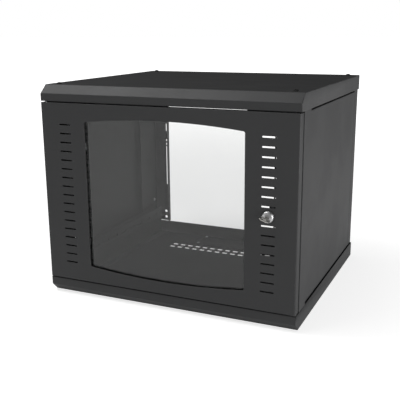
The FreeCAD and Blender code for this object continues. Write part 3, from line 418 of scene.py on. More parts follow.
# ---------------------------------------------------------------- shader groups
class Tree:
    """A node tree with short calls to add and join nodes."""

    def __init__(self, tree: bpy.types.NodeTree) -> None:
        """Take the tree and empty it."""
        self.tree = tree
        self.tree.nodes.clear()

    def put(self, node: bpy.types.Node, name: Union[str, int], value: object) -> None:
        """Join another node's output to a socket, or set the socket to a plain value.

        Args:
            node: The node that has the socket.
            name: The socket's name or number.
            value: Another node's output, or a plain value.
        """
        if isinstance(value, bpy.types.NodeSocket):
            self.tree.links.new(value, node.inputs[name])
        else:
            node.inputs[name].default_value = value

    def add(self, kind: str, inputs: Optional[dict[Union[str, int], object]] = None,
            **settings: object) -> bpy.types.Node:
        """Add a node.

        Args:
            kind: The node's type, such as ShaderNodeMath.
            inputs: Socket name or number to a plain value or to another node's output.
            **settings: Properties of the node.

        Returns:
            The new node.
        """
        node = self.tree.nodes.new(kind)
        for name, value in settings.items():
            setattr(node, name, value)
        for name, value in (inputs or {}).items():
            self.put(node, name, value)
        return node

    def surface(self, shader: bpy.types.Node, kind: str = "Material") -> None:
        """Join a shader to the output of a material or a world."""
        self.add(f"ShaderNodeOutput{kind}", {"Surface": shader.outputs[0]})

    def math(self, operation: str, *values: object, clamp: bool = False) -> Socket:
        """Join a Math node and give back its result."""
        node = self.add("ShaderNodeMath", dict(enumerate(values)), operation=operation, use_clamp=clamp)
        return node.outputs[0]

    def remap(self, value: Socket, low: float, high: float, to_low: float = 0.0,
              to_high: float = 1.0) -> Socket:
        """Map a value smoothly from one range to another."""
        inputs = {"Value": value, "From Min": low, "From Max": high, "To Min": to_low, "To Max": to_high}
        return self.add("ShaderNodeMapRange", inputs, interpolation_type="SMOOTHSTEP").outputs[0]

    def noise(self, vector: Socket, scale: object, detail: float = 3.0, rough: float = 0.5) -> Socket:
        """Noise on a vector, from 0 to 1."""
        inputs = {"Vector": vector, "Scale": scale, "Detail": detail, "Roughness": rough}
        return self.add("ShaderNodeTexNoise", inputs).outputs[0]

    def directly_seen(self, path: bpy.types.Node) -> Socket:
        """Tell camera rays, straight or through glass, from light that has met a dull surface.

        Args:
            path: A Light Path node.

        Returns:
            One for camera rays, else nought.
        """
        through = self.math("MAXIMUM", path.outputs["Is Camera Ray"], path.outputs["Is Transmission Ray"])
        undulled = self.math("SUBTRACT", 1.0, path.outputs["Diffuse Depth"], clamp=True)
        return self.math("MULTIPLY", through, undulled)

    def mix_value(self, share: Socket, first: object, second: object) -> Socket:
        """Blend two values by a share from 0 to 1."""
        return self.add("ShaderNodeMix", {0: share, 2: first, 3: second}).outputs[0]

    def mix(self, share: object, first: object, second: object) -> Socket:
        """Mix two colours, each a triple or another node's output."""
        ends = [(*colour, 1.0) if isinstance(colour, tuple) else colour for colour in (first, second)]
        return self.add("ShaderNodeMix", {0: share, 6: ends[0], 7: ends[1]}, data_type="RGBA").outputs[2]


class Group(Tree):
    """A shader group with named inputs and outputs."""

    def __init__(self, name: str, **inputs: Union[float, Colour]) -> None:
        """Start the group with its input sockets.

        Args:
            name: The group's name.
            **inputs: Title and default value of each input beside the Vector that every group has; a number
                makes a Float socket, a triple a Vector socket, and an underscore stands for a space.
        """
        super().__init__(bpy.data.node_groups.new(name, "ShaderNodeTree"))
        for title, value in {"Vector": None, **inputs}.items():
            kind = "Float" if isinstance(value, float) else "Vector"
            socket = self.tree.interface.new_socket(title.replace("_", " "), in_out="INPUT",
                                                    socket_type=f"NodeSocket{kind}")
            if value is not None:
                socket.default_value = value
        self.given = self.add("NodeGroupInput").outputs
        self.place = self.given["Vector"]

    def finish(self, **outputs: Socket) -> bpy.types.NodeTree:
        """Close the group with its output sockets.

        Args:
            **outputs: Title and value of each output.

        Returns:
            The group's tree.
        """
        for title in outputs:
            self.tree.interface.new_socket(title, in_out="OUTPUT", socket_type="NodeSocketFloat")
        self.add("NodeGroupOutput", outputs)
        return self.tree


class Effects:
    """The surface effects that several finishes share, each a shader group built once."""

    def __init__(self) -> None:
        """Build the groups."""
        self.edge_wear = self._edge_wear()
        self.orange_peel = self._orange_peel()
        self.settled_dust = self._settled_dust()
        self.handling = self._handling()
        self.drawn_lines = self._drawn_lines()
        self.spangle = self._spangle()
        self.recess = self._recess()

    @staticmethod
    def _edge_wear() -> bpy.types.NodeTree:
        """Mask of edges: one less the product of the rounded and the plain normal, broken by noise.

        Returns:
            The group.
        """
        group = Group("edge_wear", Radius=0.001, Breakup=90.0)
        soft = group.add("ShaderNodeBevel", {"Radius": group.given["Radius"]}, samples=4).outputs[0]
        plain = group.add("ShaderNodeNewGeometry").outputs["Normal"]
        dot = group.add("ShaderNodeVectorMath", {0: soft, 1: plain}, operation="DOT_PRODUCT").outputs["Value"]
        edge = group.remap(group.math("SUBTRACT", 1.0, dot), 0.01, 0.12)
        broken = group.remap(group.noise(group.place, group.given["Breakup"], 4.0, 0.6), 0.38, 0.62)
        return group.finish(Mask=group.math("MULTIPLY", edge, broken))

    @staticmethod
    def _orange_peel() -> bpy.types.NodeTree:
        """Height of a sprayed or powdered skin: fine grains over slow ripples.

        Returns:
            The group.
        """
        group = Group("orange_peel", Grain_Size=0.0012, Ripple=0.35)
        scale = group.math("DIVIDE", 1.0, group.given["Grain Size"])
        fine = group.noise(group.place, scale, 2.0, 0.55)
        slow = group.noise(group.place, group.math("MULTIPLY", scale, 0.18), 2.0, 0.5)
        height = group.math("ADD", fine, group.math("MULTIPLY", slow, group.given["Ripple"]))
        return group.finish(Height=height, Speckle=group.remap(fine, 0.30, 0.72))

    @staticmethod
    def _settled_dust() -> bpy.types.NodeTree:
        """Mask of dust: the upward part of the normal, to a power, times patchy noise.

        Returns:
            The group.
        """
        group = Group("settled_dust")
        normal = group.add("ShaderNodeNewGeometry").outputs["Normal"]
        upward = group.add("ShaderNodeSeparateXYZ", {0: normal}).outputs[2]
        facing = group.math("POWER", group.math("MAXIMUM", upward, 0.0), 3.0)
        patches = group.remap(group.noise(group.place, 16.0, 5.0, 0.6), 0.36, 0.72)
        return group.finish(Mask=group.math("MULTIPLY", facing, patches))

    @staticmethod
    def _recess() -> bpy.types.NodeTree:
        """Mask of painted shade in seams and recesses: how far the surface within a few millimetres is closed
        in.

        Returns:
            The group.
        """
        group = Group("recess", Reach=0.006)
        # painted shade: ambient occlusion within the reach marks where shade falls in seams and recesses
        open_share = group.add("ShaderNodeAmbientOcclusion", {"Distance": group.given["Reach"]}, samples=6)
        closed = group.remap(open_share.outputs["AO"], 0.92, 0.45)
        broken = group.remap(group.noise(group.place, 60.0, 3.0, 0.6), 0.30, 0.60, 0.75, 1.0)
        return group.finish(Mask=group.math("MULTIPLY", closed, broken))

    @staticmethod
    def _handling() -> bpy.types.NodeTree:
        """Slow change of gloss from hands and cloths, from 0 to 1.

        Returns:
            The group.
        """
        group = Group("handling_marks", Scale=9.0)
        cloudy = group.noise(group.place, group.given["Scale"], 4.0, 0.62)
        return group.finish(Value=group.remap(cloudy, 0.32, 0.70))

    @staticmethod
    def _drawn_lines() -> bpy.types.NodeTree:
        """Fine lines along one direction: noise on a vector squeezed along the drawing axis.

        Returns:
            The group.
        """
        group = Group("drawn_lines", Squeeze=(1.0, 1.0, 0.03), Scale=1400.0)
        drawn = group.add("ShaderNodeVectorMath", {0: group.place, 1: group.given["Squeeze"]},
                          operation="MULTIPLY").outputs[0]
        return group.finish(Height=group.noise(drawn, group.given["Scale"], 3.0, 0.6))

    @staticmethod
    def _spangle() -> bpy.types.NodeTree:
        """The crystal pattern of zinc: one random value in each cell, softened by noise.

        Returns:
            The group.
        """
        group = Group("zinc_spangle", Cell=0.004)
        scale = group.math("DIVIDE", 1.0, group.given["Cell"])
        cells = group.add("ShaderNodeTexVoronoi", {"Vector": group.place, "Scale": scale}, feature="F1")
        tone = group.add("ShaderNodeSeparateColor", {0: cells.outputs["Color"]}).outputs[0]
        haze = group.noise(group.place, group.math("MULTIPLY", scale, 3.0), 2.0, 0.5)
        return group.finish(Value=group.math("ADD", group.math("MULTIPLY", tone, 0.6),
                                             group.math("MULTIPLY", haze, 0.4)))


# ---------------------------------------------------------------- finishes
class Finish:
    """One coating or material: a Principled BSDF fed by the shared effects."""

    slot: str = ""

    def __init__(self, name: str) -> None:
        """Start the material with its shader, its output and an Object coordinate.

        Args:
            name: The material's name.
        """
        self.material = bpy.data.materials.new(name)
        self.material.use_nodes = True
        self.tree = Tree(self.material.node_tree)
        self.shader = self.tree.add("ShaderNodeBsdfPrincipled")
        self.tree.surface(self.shader)
        self.place = self.tree.add("ShaderNodeTexCoord").outputs["Object"]

    def effect(self, tree: bpy.types.NodeTree, output: str, **inputs: object) -> Socket:
        """Place a shared effect.

        Args:
            tree: The effect's group.
            output: The output that is wanted.
            **inputs: Values of the group's inputs; an underscore stands for a space.

        Returns:
            The output.
        """
        node = self.tree.add("ShaderNodeGroup", node_tree=tree, label=tree.name)
        for title, value in {"Vector": self.place, **inputs}.items():
            self.tree.put(node, title.replace("_", " "), value)
        return node.outputs[output]

    def over(self, colour: Socket, mask: Socket, share: float, top: Colour) -> Socket:
        """Lay a colour over another where a mask is, to a share."""
        return self.tree.mix(self.tree.math("MULTIPLY", mask, share), colour, top)

    def feed(self, **sockets: object) -> None:
        """Set or join the shader's sockets; an underscore stands for a space."""
        for title, value in sockets.items():
            self.tree.put(self.shader, title.replace("_", " "), value)

    def bump(self, height: Socket, strength: float, distance: float) -> None:
        """Feed the normal from a height in metres times distance."""
        node = self.tree.add("ShaderNodeBump", {"Strength": strength, "Distance": distance, "Height": height})
        self.feed(Normal=node.outputs[0])

    def dress(self, piece: bpy.types.Object) -> None:
        """Give a piece this finish.

        Args:
            piece: A CAD node or a new piece.
        """
        piece.data.materials.clear()
        piece.data.materials.append(self.material)


@dataclass(frozen=True)
class CoatLook:
    """Colour and gloss of one powder coat."""
    name: str
    base: Colour
    worn: Colour
    dust: Colour = (0.16, 0.155, 0.148)
    # painted shade: the near-black laid into seams and recesses where shade falls
    seam: Colour = (0.006, 0.006, 0.006)
    roughness: tuple[float, float] = (0.46, 0.51)
    specular: float = 0.30
    grain: float = 0.0009
    depth: float = 0.00004
    strength: float = 0.10
    flecks: tuple[float, float] = (0.97, 1.03)
    wear_share: float = 0.55
    dust_share: float = 0.04
    # how much of the painted shade goes into seams and recesses
    painted_shade_share: float = 0.35


class PowderCoat(Finish):
    """Fine-textured powder coat: orange peel, thin coat on the edges, a trace of dust, and painted shade in
    seams and recesses.
    """

    slot = "charcoal_coat"

    def __init__(self, look: CoatLook, effects: Effects) -> None:
        """Build the coat from its look.

        Args:
            look: Colours and gloss.
            effects: The shared effects.
        """
        super().__init__(look.name)
        speckle = self.effect(effects.orange_peel, "Speckle", Grain_Size=look.grain)
        height = self.effect(effects.orange_peel, "Height", Grain_Size=look.grain)
        wear = self.effect(effects.edge_wear, "Mask", Radius=0.0009, Breakup=120.0)
        dust = self.effect(effects.settled_dust, "Mask")
        marks = self.effect(effects.handling, "Value", Scale=7.0)
        # painted shade in seams and recesses, laid over the coat below
        recess = self.effect(effects.recess, "Mask")
        darker, paler = (tuple(channel * share for channel in look.base) for share in look.flecks)
        coat = self.tree.mix(speckle, darker, paler)
        coat = self.over(coat, wear, look.wear_share, look.worn)
        coat = self.over(coat, dust, look.dust_share, look.dust)
        coat = self.over(coat, recess, look.painted_shade_share, look.seam)
        self.feed(Base_Color=coat, Metallic=0.0, Specular_IOR_Level=look.specular,
                  Roughness=self.tree.remap(marks, 0.0, 1.0, *look.roughness))
        self.bump(height, look.strength, look.depth)


@dataclass(frozen=True)
class MetalLook:
    """Colour and gloss of one bare or plated metal."""
    name: str
    slot: str
    base: Colour
    dull: Colour
    roughness: tuple[float, float]
    line_depth: float = 0.00002
    squeeze: tuple[float, float, float] = (1.0, 1.0, 0.04)
    cell: float = 0.003
    polish: float = 1.25
    wear_share: float = 0.5
    strength: float = 0.25


class PlatedMetal(Finish):
    """Zinc, chrome or nickel plate over drawn steel, duller where it has been handled."""

    def __init__(self, look: MetalLook, effects: Effects) -> None:
        """Build the metal from its look.

        Args:
            look: Colours and gloss.
            effects: The shared effects.
        """
        super().__init__(look.name)
        self.slot = look.slot
        tone = self.effect(effects.spangle, "Value", Cell=look.cell)
        marks = self.effect(effects.handling, "Value", Scale=55.0)
        wear = self.effect(effects.edge_wear, "Mask", Radius=0.0004, Breakup=260.0)
        lines = self.effect(effects.drawn_lines, "Height", Squeeze=look.squeeze)
        polished = tuple(min(1.0, channel * look.polish) for channel in look.base)
        colour = self.over(self.tree.mix(tone, look.dull, look.base), wear, look.wear_share, polished)
        self.feed(Base_Color=colour, Metallic=1.0,
                  Roughness=self.tree.remap(marks, 0.0, 1.0, *look.roughness))
        self.bump(lines, look.strength, look.line_depth)


class PaneGlass(Finish):
    """Toughened glass, lightly tinted, a trace greyer where it has been wiped."""

    slot = "pane_glass"
    tint: tuple[Colour, Colour] = ((0.710, 0.715, 0.713), (0.690, 0.695, 0.693))
    refraction: float = 1.5
    specular: float = 0.30

    def __init__(self, effects: Effects) -> None:
        """Build the glass.

        Args:
            effects: The shared effects.
        """
        super().__init__("clear_pane_glass")
        marks = self.effect(effects.handling, "Value", Scale=5.0)
        self.feed(Base_Color=self.tree.mix(marks, *self.tint), Metallic=0.0, Transmission_Weight=1.0,
                  IOR=self.refraction, Specular_IOR_Level=self.specular, Roughness=0.0)


@dataclass(frozen=True)
class MouldedLook:
    """Colour and grain of one rubber, foam or plastic."""
    name: str
    slot: str
    base: Colour
    bloom: Colour
    roughness: tuple[float, float]
    grain: float
    depth: float
    dust: Colour = (0.2, 0.195, 0.185)
    dust_share: float = 0.02
    specular: float = 0.35
    strength: float = 0.5


class Moulded(Finish):
    """Rubber, foam or moulded plastic with a fine grain and a pale bloom."""

    def __init__(self, look: MouldedLook, effects: Effects) -> None:
        """Build the material from its look.

        Args:
            look: Colours and gloss.
            effects: The shared effects.
        """
        super().__init__(look.name)
        self.slot = look.slot
        height = self.effect(effects.orange_peel, "Height", Grain_Size=look.grain)
        marks = self.effect(effects.handling, "Value", Scale=40.0)
        dust = self.effect(effects.settled_dust, "Mask")
        colour = self.over(self.tree.mix(marks, look.base, look.bloom), dust, look.dust_share, look.dust)
        self.feed(Base_Color=colour, Roughness=self.tree.remap(marks, 0.0, 1.0, *look.roughness),
                  Specular_IOR_Level=look.specular)
        self.bump(height, look.strength, look.depth)


def grey(level: float) -> Colour:
    """A colour whose three channels are alike."""
    return level, level, level


class Finishes:
    """Every finish of the cabinet by name."""

    def __init__(self) -> None:
        """Build the shared effects and the finishes."""
        effects = Effects()
        self.coat = PowderCoat(CoatLook("charcoal_powder_coat", (0.044, 0.0445, 0.0455), grey(0.15)), effects)
        self.zinc, self.chrome, self.nickel, self.spring_steel = (PlatedMetal(look, effects) for look in (
            MetalLook("bright_zinc_plate", "zinc_plate", (0.63, 0.64, 0.65), (0.48, 0.49, 0.50),
                      (0.28, 0.44)),
            MetalLook("satin_chrome", "lock_chrome", (0.82, 0.82, 0.83), (0.74, 0.74, 0.75), (0.36, 0.46),
                      0.000006, (1, 0.05, 1), 0.0015),
            MetalLook("worn_nickel", "key_nickel", (0.76, 0.75, 0.72), (0.62, 0.60, 0.56), (0.22, 0.36),
                      0.00001, (1, 0.06, 1), 0.002),
            MetalLook("drawn_spring_steel", "zinc_plate", (0.42, 0.42, 0.43), (0.30, 0.30, 0.31), (0.25, 0.4),
                      0.00001, (1, 1, 1), 0.001)))
        self.glass = PaneGlass(effects)
        self.rubber, self.foam, self.nylon = (Moulded(look, effects) for look in (
            MouldedLook("black_gasket_rubber", "black_rubber", grey(0.016), (0.030, 0.030, 0.031),
                        (0.62, 0.80), 0.0009, 0.00006),
            MouldedLook("black_cell_foam", "black_rubber", grey(0.018), (0.040, 0.040, 0.041),
                        (0.85, 0.95), 0.0008, 0.0004),
            MouldedLook("black_nylon", "black_plastic", grey(0.008), grey(0.013),
                        (0.55, 0.68), 0.0007, 0.00003)))


# ---------------------------------------------------------------- sub-assemblies
def islands(node: str) -> list[tuple[np.ndarray, np.ndarray]]:
    """Find the separate solids of a CAD node.

    Args:
        node: The CAD node.

    Returns:
        Low and high corner of each solid, sorted by the low corner.
    """
    tidy = merged(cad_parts[node].data, SAME_CORNER)
    seen: set[bmesh.types.BMVert] = set()
    boxes = []
    for start in tidy.verts:
        if start in seen:
            continue
        seen.add(start)
        stack, points = [start], []
        while stack:
            vert = stack.pop()
            points.append(tuple(vert.co))
            for edge in vert.link_edges:
                other = edge.other_vert(vert)
                if other not in seen:
                    seen.add(other)
                    stack.append(other)
        boxes.append((np.min(points, axis=0), np.max(points, axis=0)))
    tidy.free()
    return sorted(boxes, key=lambda pair: tuple(np.round(pair[0], 4)))


@dataclass(frozen=True)
class Screw:
    """Sizes of one kind of screw: radius and height of the head, radius of the thread, and the drive."""
    head: float
    rise: float
    shank: float
    drive: Drive = Drive.CROSS

    def fitted(self, node: str, axis: int, inward: bool = False) -> Grid:
        """Make a screw in the place of each solid of a CAD node.

        Args:
            node: The CAD node, one solid for each screw.
            axis: 0, 1 or 2 for screws along X, Y or Z.
            inward: True if the heads face the cabinet's middle, else they face along the axis.

        Returns:
            Points and faces of every screw.
        """
        parts, next_turn, pitch, groove = [], 37.0, 0.28 * self.shank + 0.2 * MM, 0.09 * self.shank
        for index, (low, high) in enumerate(islands(node)):
            seat, direction = (low + high) / 2, np.zeros(3)
            way = -math.copysign(1, seat[axis]) if inward else 1.0
            seat[axis] = (high[axis] if way > 0 else low[axis]) - way * self.rise
            direction[axis] = way
            head = domed_head(self.head, self.rise, self.drive)
            shank = thread(self.shank, pitch, groove, 0.0, (high[axis] - low[axis]) - self.rise)
            parts += [set_at(head, seat, direction, next_turn * index % 90.0),
                      set_at(shank, seat, -direction)]
        return joined(parts)


def hexagon_nut(apothem: float, bore: float, height: float, steps: int = 48) -> Grid:
    """A nut about +Z: the rim is apothem / cos(t mod 60 - 30), cut by a cone near each face.

    Args:
        apothem: Half the distance across flats.
        bore: Radius of the hole.
        height: Height of the nut.
        steps: Points round the nut, a multiple of 6.

    Returns:
        Points and faces of a closed ring.
    """
    turn = angles(steps)
    hexagon = apothem / np.cos((turn % (np.pi / 3)) - np.pi / 6)
    chamfer, face, mouth = 0.12 * height, apothem * 0.99, bore + 0.12 * height * 0.4
    cone = np.minimum(hexagon, apothem * 1.09)
    return stacked([(0.0, mouth), (0.0, face), (chamfer, cone), (2 * chamfer, hexagon),
                    (height - 2 * chamfer, hexagon), (height - chamfer, cone), (height, face),
                    (height, mouth), (height - chamfer, bore), (chamfer, bore), (0.0, mouth)], turn)


@dataclass
class Assembly:
    """A sub-assembly that rides on one body and keeps a list of its pieces."""

    body: str
    finishes: Finishes
    pieces: list[bpy.types.Object] = field(default_factory=list)

    def keep(self, piece: bpy.types.Object, finish: Finish, body: Optional[str] = None) -> None:
        """Dress a new piece, let it ride on a body, and note it.

        Args:
            piece: The new piece.
            finish: What it is dressed in.
            body: The body it rides on, if not the sub-assembly's own.
        """
        finish.dress(piece)
        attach(piece, body or self.body)
        self.pieces.append(piece)

    def dress_nodes(self, nodes: Sequence[str], finish: Finish) -> None:
        """Give CAD nodes a finish and leave their shape alone."""
        for node in nodes:
            finish.dress(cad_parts[node])

    def bend_nodes(self, nodes: Sequence[str], finish: Finish, radius: float, **options: object) -> None:
        """Replace CAD nodes by copies with rounded bends."""
        for node in nodes:
            self.keep(bent_copy(node, radius, **options), finish)


@dataclass
class Carcass(Assembly):
    """Covers, posts, beams and side panels."""

    cover_bend: float = 1.7 * MM
    post_bend: float = 1.6 * MM

    def build(self) -> None:
        """Round the bends of the covers, posts and beams, and dress the side panels as they are."""
        self.bend_nodes(["top_cover", "bottom_cover"], self.finishes.coat, self.cover_bend)
        posts = [f"{end}_post_{side}" for end in ("front", "rear") for side in SIDES]
        beams = [f"side_beam_{level}_{side}" for level in ("top", "bottom") for side in SIDES]
        self.bend_nodes(posts + beams + ["rear_beam_top"], self.finishes.coat, self.post_bend)
        self.dress_nodes([f"side_panel_{side}" for side in SIDES], self.finishes.coat)


@dataclass
class RackRails(Assembly):
    """The 19-inch rails with their brackets, bolts and nuts."""

    rail_bend: float = 1.8 * MM
    bracket_bend: float = 1.5 * MM
    bolt: Screw = Screw(5.0 * MM, 4.0 * MM, 3.0 * MM, Drive.HEXAGON)
    nut: tuple[float, float] = (4.33 * MM, 3.0 * MM)

    def build(self) -> None:
        """Round the bends, and make the cap screws, heads to the middle, and the hexagon nuts."""
        self.bend_nodes([f"rack_rail_{side}" for side in SIDES], self.finishes.coat, self.rail_bend)
        brackets = [f"rail_bracket_{level}_{side}" for level in ("top", "bottom") for side in SIDES]
        self.bend_nodes(brackets, self.finishes.coat, self.bracket_bend)
        piece = mesh_object("rail_cap_screws", *self.bolt.fitted("rail_bolts", 0, inward=True))
        self.keep(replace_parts(piece, "rail_bolts"), self.finishes.zinc)
        nuts = [set_at(hexagon_nut(*self.nut, high[0] - low[0]), (low[0], *((low + high) / 2)[1:]), (1, 0, 0))
                for low, high in islands("rail_nuts")]
        piece = mesh_object("rail_hexagon_nuts", *joined(nuts))
        self.keep(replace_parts(piece, "rail_nuts"), self.finishes.zinc)


@dataclass
class DoorLeaf(Assembly):
    """Door pan, pane, gasket, stiffeners and glass clips."""

    door_bend: float = 1.4 * MM
    hat_bend: float = 1.5 * MM
    glass_edge: float = 0.5 * MM
    clip_edge: float = 0.3 * MM
    screw: Screw = Screw(3.5 * MM, 2.0 * MM, 2.0 * MM)

    def build(self) -> None:
        """Round the bends, dress the glass, and make the clip screws."""
        self.bend_nodes(["door_frame"], self.finishes.coat, self.door_bend)
        hats = [f"door_stiffener_{name}" for name in (*SIDES, "top", "bottom")]
        self.bend_nodes(hats, self.finishes.coat, self.hat_bend)
        self.dress_nodes(["glass_gasket"], self.finishes.rubber)
        self.bend_nodes(["door_glass"], self.finishes.glass, self.glass_edge)
        self.bend_nodes(["glass_clips"], self.finishes.zinc, self.clip_edge, sheet=ANY_EDGE)
        piece = mesh_object("clip_pan_screws", *self.screw.fitted("glass_clip_screws", 1))
        self.keep(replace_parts(piece, "glass_clip_screws"), self.finishes.zinc)


@dataclass
class DoorHinge(Assembly):
    """Hinge plates and brackets, fixed lower pin, and the sprung upper pin."""

    plate_edge: float = 0.4 * MM
    bracket_bend: float = 1.8 * MM
    pin: float = 3.0 * MM
    nose: float = 1.2 * MM
    knob: tuple[float, float] = (4.5 * MM, 5.0 * MM)
    collar: tuple[float, float, float] = (4.2 * MM, 21.6 * MM, 23.6 * MM)
    ribs: float = 18.0
    spring_turns: float = 6.0
    spring_radius: float = 3.7 * MM
    wire: float = 0.4 * MM
    travel: float = 9.0 * MM

    def build(self) -> None:
        """Dress the plates and brackets and make the pins, washer and spring."""
        for level in ("top", "bottom"):
            plate = bent_copy(f"hinge_plate_{level}", self.plate_edge, ANY_EDGE)
            self.keep(plate, self.finishes.zinc, "cabinet")
        for level in ("top", "bottom"):
            self.keep(bent_copy(f"hinge_bracket_{level}", self.bracket_bend), self.finishes.zinc, "door")
        self._lower_pin()
        self._washer()
        self._upper_pin()
        self._spring()

    def _axis(self, node: str) -> tuple[tuple[float, float, float], float]:
        """Middle of a CAD node's underside, and the node's height."""
        low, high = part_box(node)
        return ((low[0] + high[0]) / 2, (low[1] + high[1]) / 2, low[2]), high[2] - low[2]

    def _lower_pin(self) -> None:
        """A headed pin with a tapered nose."""
        foot, height = self._axis("hinge_pin_bottom")
        head, thick = 4.5 * MM, 1.5 * MM
        profile = rounded_profile([(0, 0, 0), (head, 0, 0.4 * MM), (head, thick, 0.2 * MM),
                                   (self.pin, thick, 0.1 * MM), (self.pin, height - self.nose, 0.6 * MM),
                                   (1.9 * MM, height, 0.3 * MM), (0, height, 0)])
        piece = mesh_object("lower_pivot_pin", *set_at(turned(profile), foot))
        self.keep(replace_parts(piece, "hinge_pin_bottom"), self.finishes.zinc, "cabinet")

    def _washer(self) -> None:
        """A nylon washer with eased rims, closed on itself round its section."""
        foot, height = self._axis("hinge_washer")
        bore, rim, ease, top = 3.05, 5.5, 0.3, height / MM
        section = [(bore, ease), (bore + ease, 0.0), (rim - ease, 0.0), (rim, ease), (rim, top - ease),
                   (rim - ease, top), (bore + ease, top), (bore, top - ease), (bore, ease)]
        profile = [(radius * MM, level * MM) for radius, level in section]
        piece = mesh_object("pivot_washer", *set_at(turned(profile, 48), foot))
        self.keep(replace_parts(piece, "hinge_washer"), self.finishes.nylon, "cabinet")

    def _upper_pin(self) -> None:
        """A pin with a spring collar and a ribbed knob, whose side is r (1 - 0.03 (1 + cos 18 t))."""
        foot, height = self._axis("hinge_pin_top")
        (knob, grip_end), (collar, start, end) = self.knob, self.collar
        shaft = rounded_profile([(0, grip_end, 0), (self.pin, grip_end, 0), (self.pin, start, 0.1 * MM),
                                 (collar, start, 0.2 * MM), (collar, end, 0.4 * MM),
                                 (self.pin, end, 0.1 * MM), (self.pin, height - self.nose, 0.8 * MM),
                                 (1.8 * MM, height, 0.3 * MM), (0, height, 0)])
        grip, faces = turned(rounded_profile([(0, 0, 0), (knob, 0, 0.8 * MM), (knob, grip_end, 0.5 * MM),
                                              (0, grip_end, 0)], 6), 72)
        turn, reach = np.arctan2(grip[:, 1], grip[:, 0]), np.hypot(grip[:, 0], grip[:, 1])
        rib = 1.0 - 0.03 * (1.0 + np.cos(self.ribs * turn)) * (reach > 0.8 * knob)
        grip[:, :2] *= rib[:, None]
        piece = mesh_object("sprung_pivot_pin", *set_at(joined([turned(shaft), (grip, faces)]), foot))
        self.keep(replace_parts(piece, "hinge_pin_top"), self.finishes.zinc, "hinge_pin")

    def _spring(self) -> None:
        """Round wire on a helix whose pitch closes to one wire at each end: z = integral of the pitch."""
        (x, y, low), height = self._axis("hinge_spring")
        per_turn, closing, closed = 28, 0.9, 0.4   # points, turns over which the pitch opens, share shut
        turns = np.linspace(0.0, self.spring_turns, int(self.spring_turns * per_turn))
        ends = np.minimum(turns, self.spring_turns - turns)
        pitch = 2.0 * self.wire + np.clip(ends / closing - closed, 0.0, 1.0) ** 2
        rise = np.concatenate([[0.0], np.cumsum((pitch[1:] + pitch[:-1]) / 2)])
        span = height - 2.0 * self.wire
        coil = np.stack([self.spring_radius * np.cos(FULL_TURN * turns),
                         self.spring_radius * np.sin(FULL_TURN * turns),
                         self.wire + span * (rise / rise.max())], axis=-1)
        piece = mesh_object("pivot_pin_spring", *set_at(tube(coil, self.wire, 10), (x, y, low)))
        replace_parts(piece, "hinge_spring")
        self.keep(piece, self.finishes.spring_steel, "door")
        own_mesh(piece)


def keyed_disc(radius: float, slot: tuple[float, float], depth: float, height: float,
               steps: int = 96) -> Grid:
    """A round plug with a keyway, whose face blends the keyway's rim into the plug's.

    The face is r(s, t) = (1 - s) slot(t) + s R, where slot(t) = min(a / |cos t|, b / |sin t|).

    Args:
        radius: The plug's radius R.
        slot: Half width a along X and half height b along Y of the keyway.
        depth: Depth of the keyway.
        height: Length of the plug below its face, which lies at z = 0.
        steps: Points round the plug.

    Returns:
        Points and faces of the floor and walls of the keyway, the face and the side.
    """
    turn = angles(steps) + np.pi / steps
    inner = np.minimum(slot[0] / np.abs(np.cos(turn)), slot[1] / np.abs(np.sin(turn)))
    ease = 0.15 * MM
    face = [(0.0, (1 - s) * (inner + ease) + s * (radius - 2 * ease)) for s in (0.25, 0.5, 0.75, 1.0)]
    return stacked([(-depth, 0.0), (-depth, inner), (-ease, inner), (0.0, inner + ease), *face,
                    (-0.6 * ease, radius - 0.6 * ease), (-2 * ease, radius), (-height, radius),
                    (-height, 0.0)], turn)


def ringed_plate(outline: Callable[[np.ndarray], np.ndarray], hole: float, centre: float, half: float,
                 ease: float, steps: int = 96) -> Grid:
    """A flat plate round a hole, with eased rims: r = outline(t) outside and the hole's radius inside.

    Args:
        outline: Gives the rim's radius from the hole's middle for each angle.
        hole: Radius of the hole.
        centre: Where the hole's middle lies along Y.
        half: Half the plate's thickness.
        ease: Size of the eased edge.
        steps: Points round the plate.

    Returns:
        Points and faces, closed round its section.
    """
    turn = angles(steps)
    rim = outline(turn)
    middle, shallow = 0.5 * (hole + rim), half - ease
    points, faces = stacked([(-shallow, hole), (-half, hole + ease), (-half, middle), (-half, rim - ease),
                             (-shallow, rim), (shallow, rim), (half, rim - ease), (half, middle),
                             (half, hole + ease), (shallow, hole), (-shallow, hole)], turn)
    return points + np.array((0.0, centre, 0.0)), faces


def cut_blade(width: float, half: float, low: float, high: float, cuts: Sequence[float],
              rows: int = 160) -> Grid:
    """A key's blade: the edge height is width (1 - sum of notches), with a groove milled along one side.

    Args:
        width: Half the blade's width.
        half: Half its thickness.
        low: Where it starts along Y.
        high: Where its point ends.
        cuts: Depth of each notch along the blade, as a share of the half width.
        rows: Points along the blade.

    Returns:
        Points and faces, closed at both ends.
    """
    first, spread, notch, point, blunt = 0.30, 0.56, 0.028, 0.10, 0.25   # shares of the length and the width
    y = np.linspace(low, high, rows)
    share = (y - low) / (high - low)
    edge = np.ones(rows)
    for index, depth in enumerate(cuts):
        middle = first + spread * index / (len(cuts) - 1)
        edge -= depth * np.clip(1.6 - np.abs(share - middle) / notch, 0.0, 1.0)
    taper = blunt + (1.0 - blunt) * np.clip((1.0 - share) / point, 0.0, 1.0)
    upper, lower = width * np.minimum(edge, taper), -width * taper
    groove = half * np.where(share > 0.02, 0.45, 1.0)
    wall, ease = 0.15 * width, 0.1 * width
    section = [(lower, 0.0), (lower + ease, -half), (-wall, -half), (-0.2 * wall, -groove), (wall, -groove),
               (1.6 * wall, -half), (upper - ease, -half), (upper, 0.0), (upper - ease, half), (0.0, half),
               (lower + ease, half)]
    points = np.stack([np.stack(np.broadcast_arrays(x, y, z), axis=-1) for x, z in section], axis=1)
    return points.reshape(-1, 3), ring_faces(rows, len(section), capped=True)


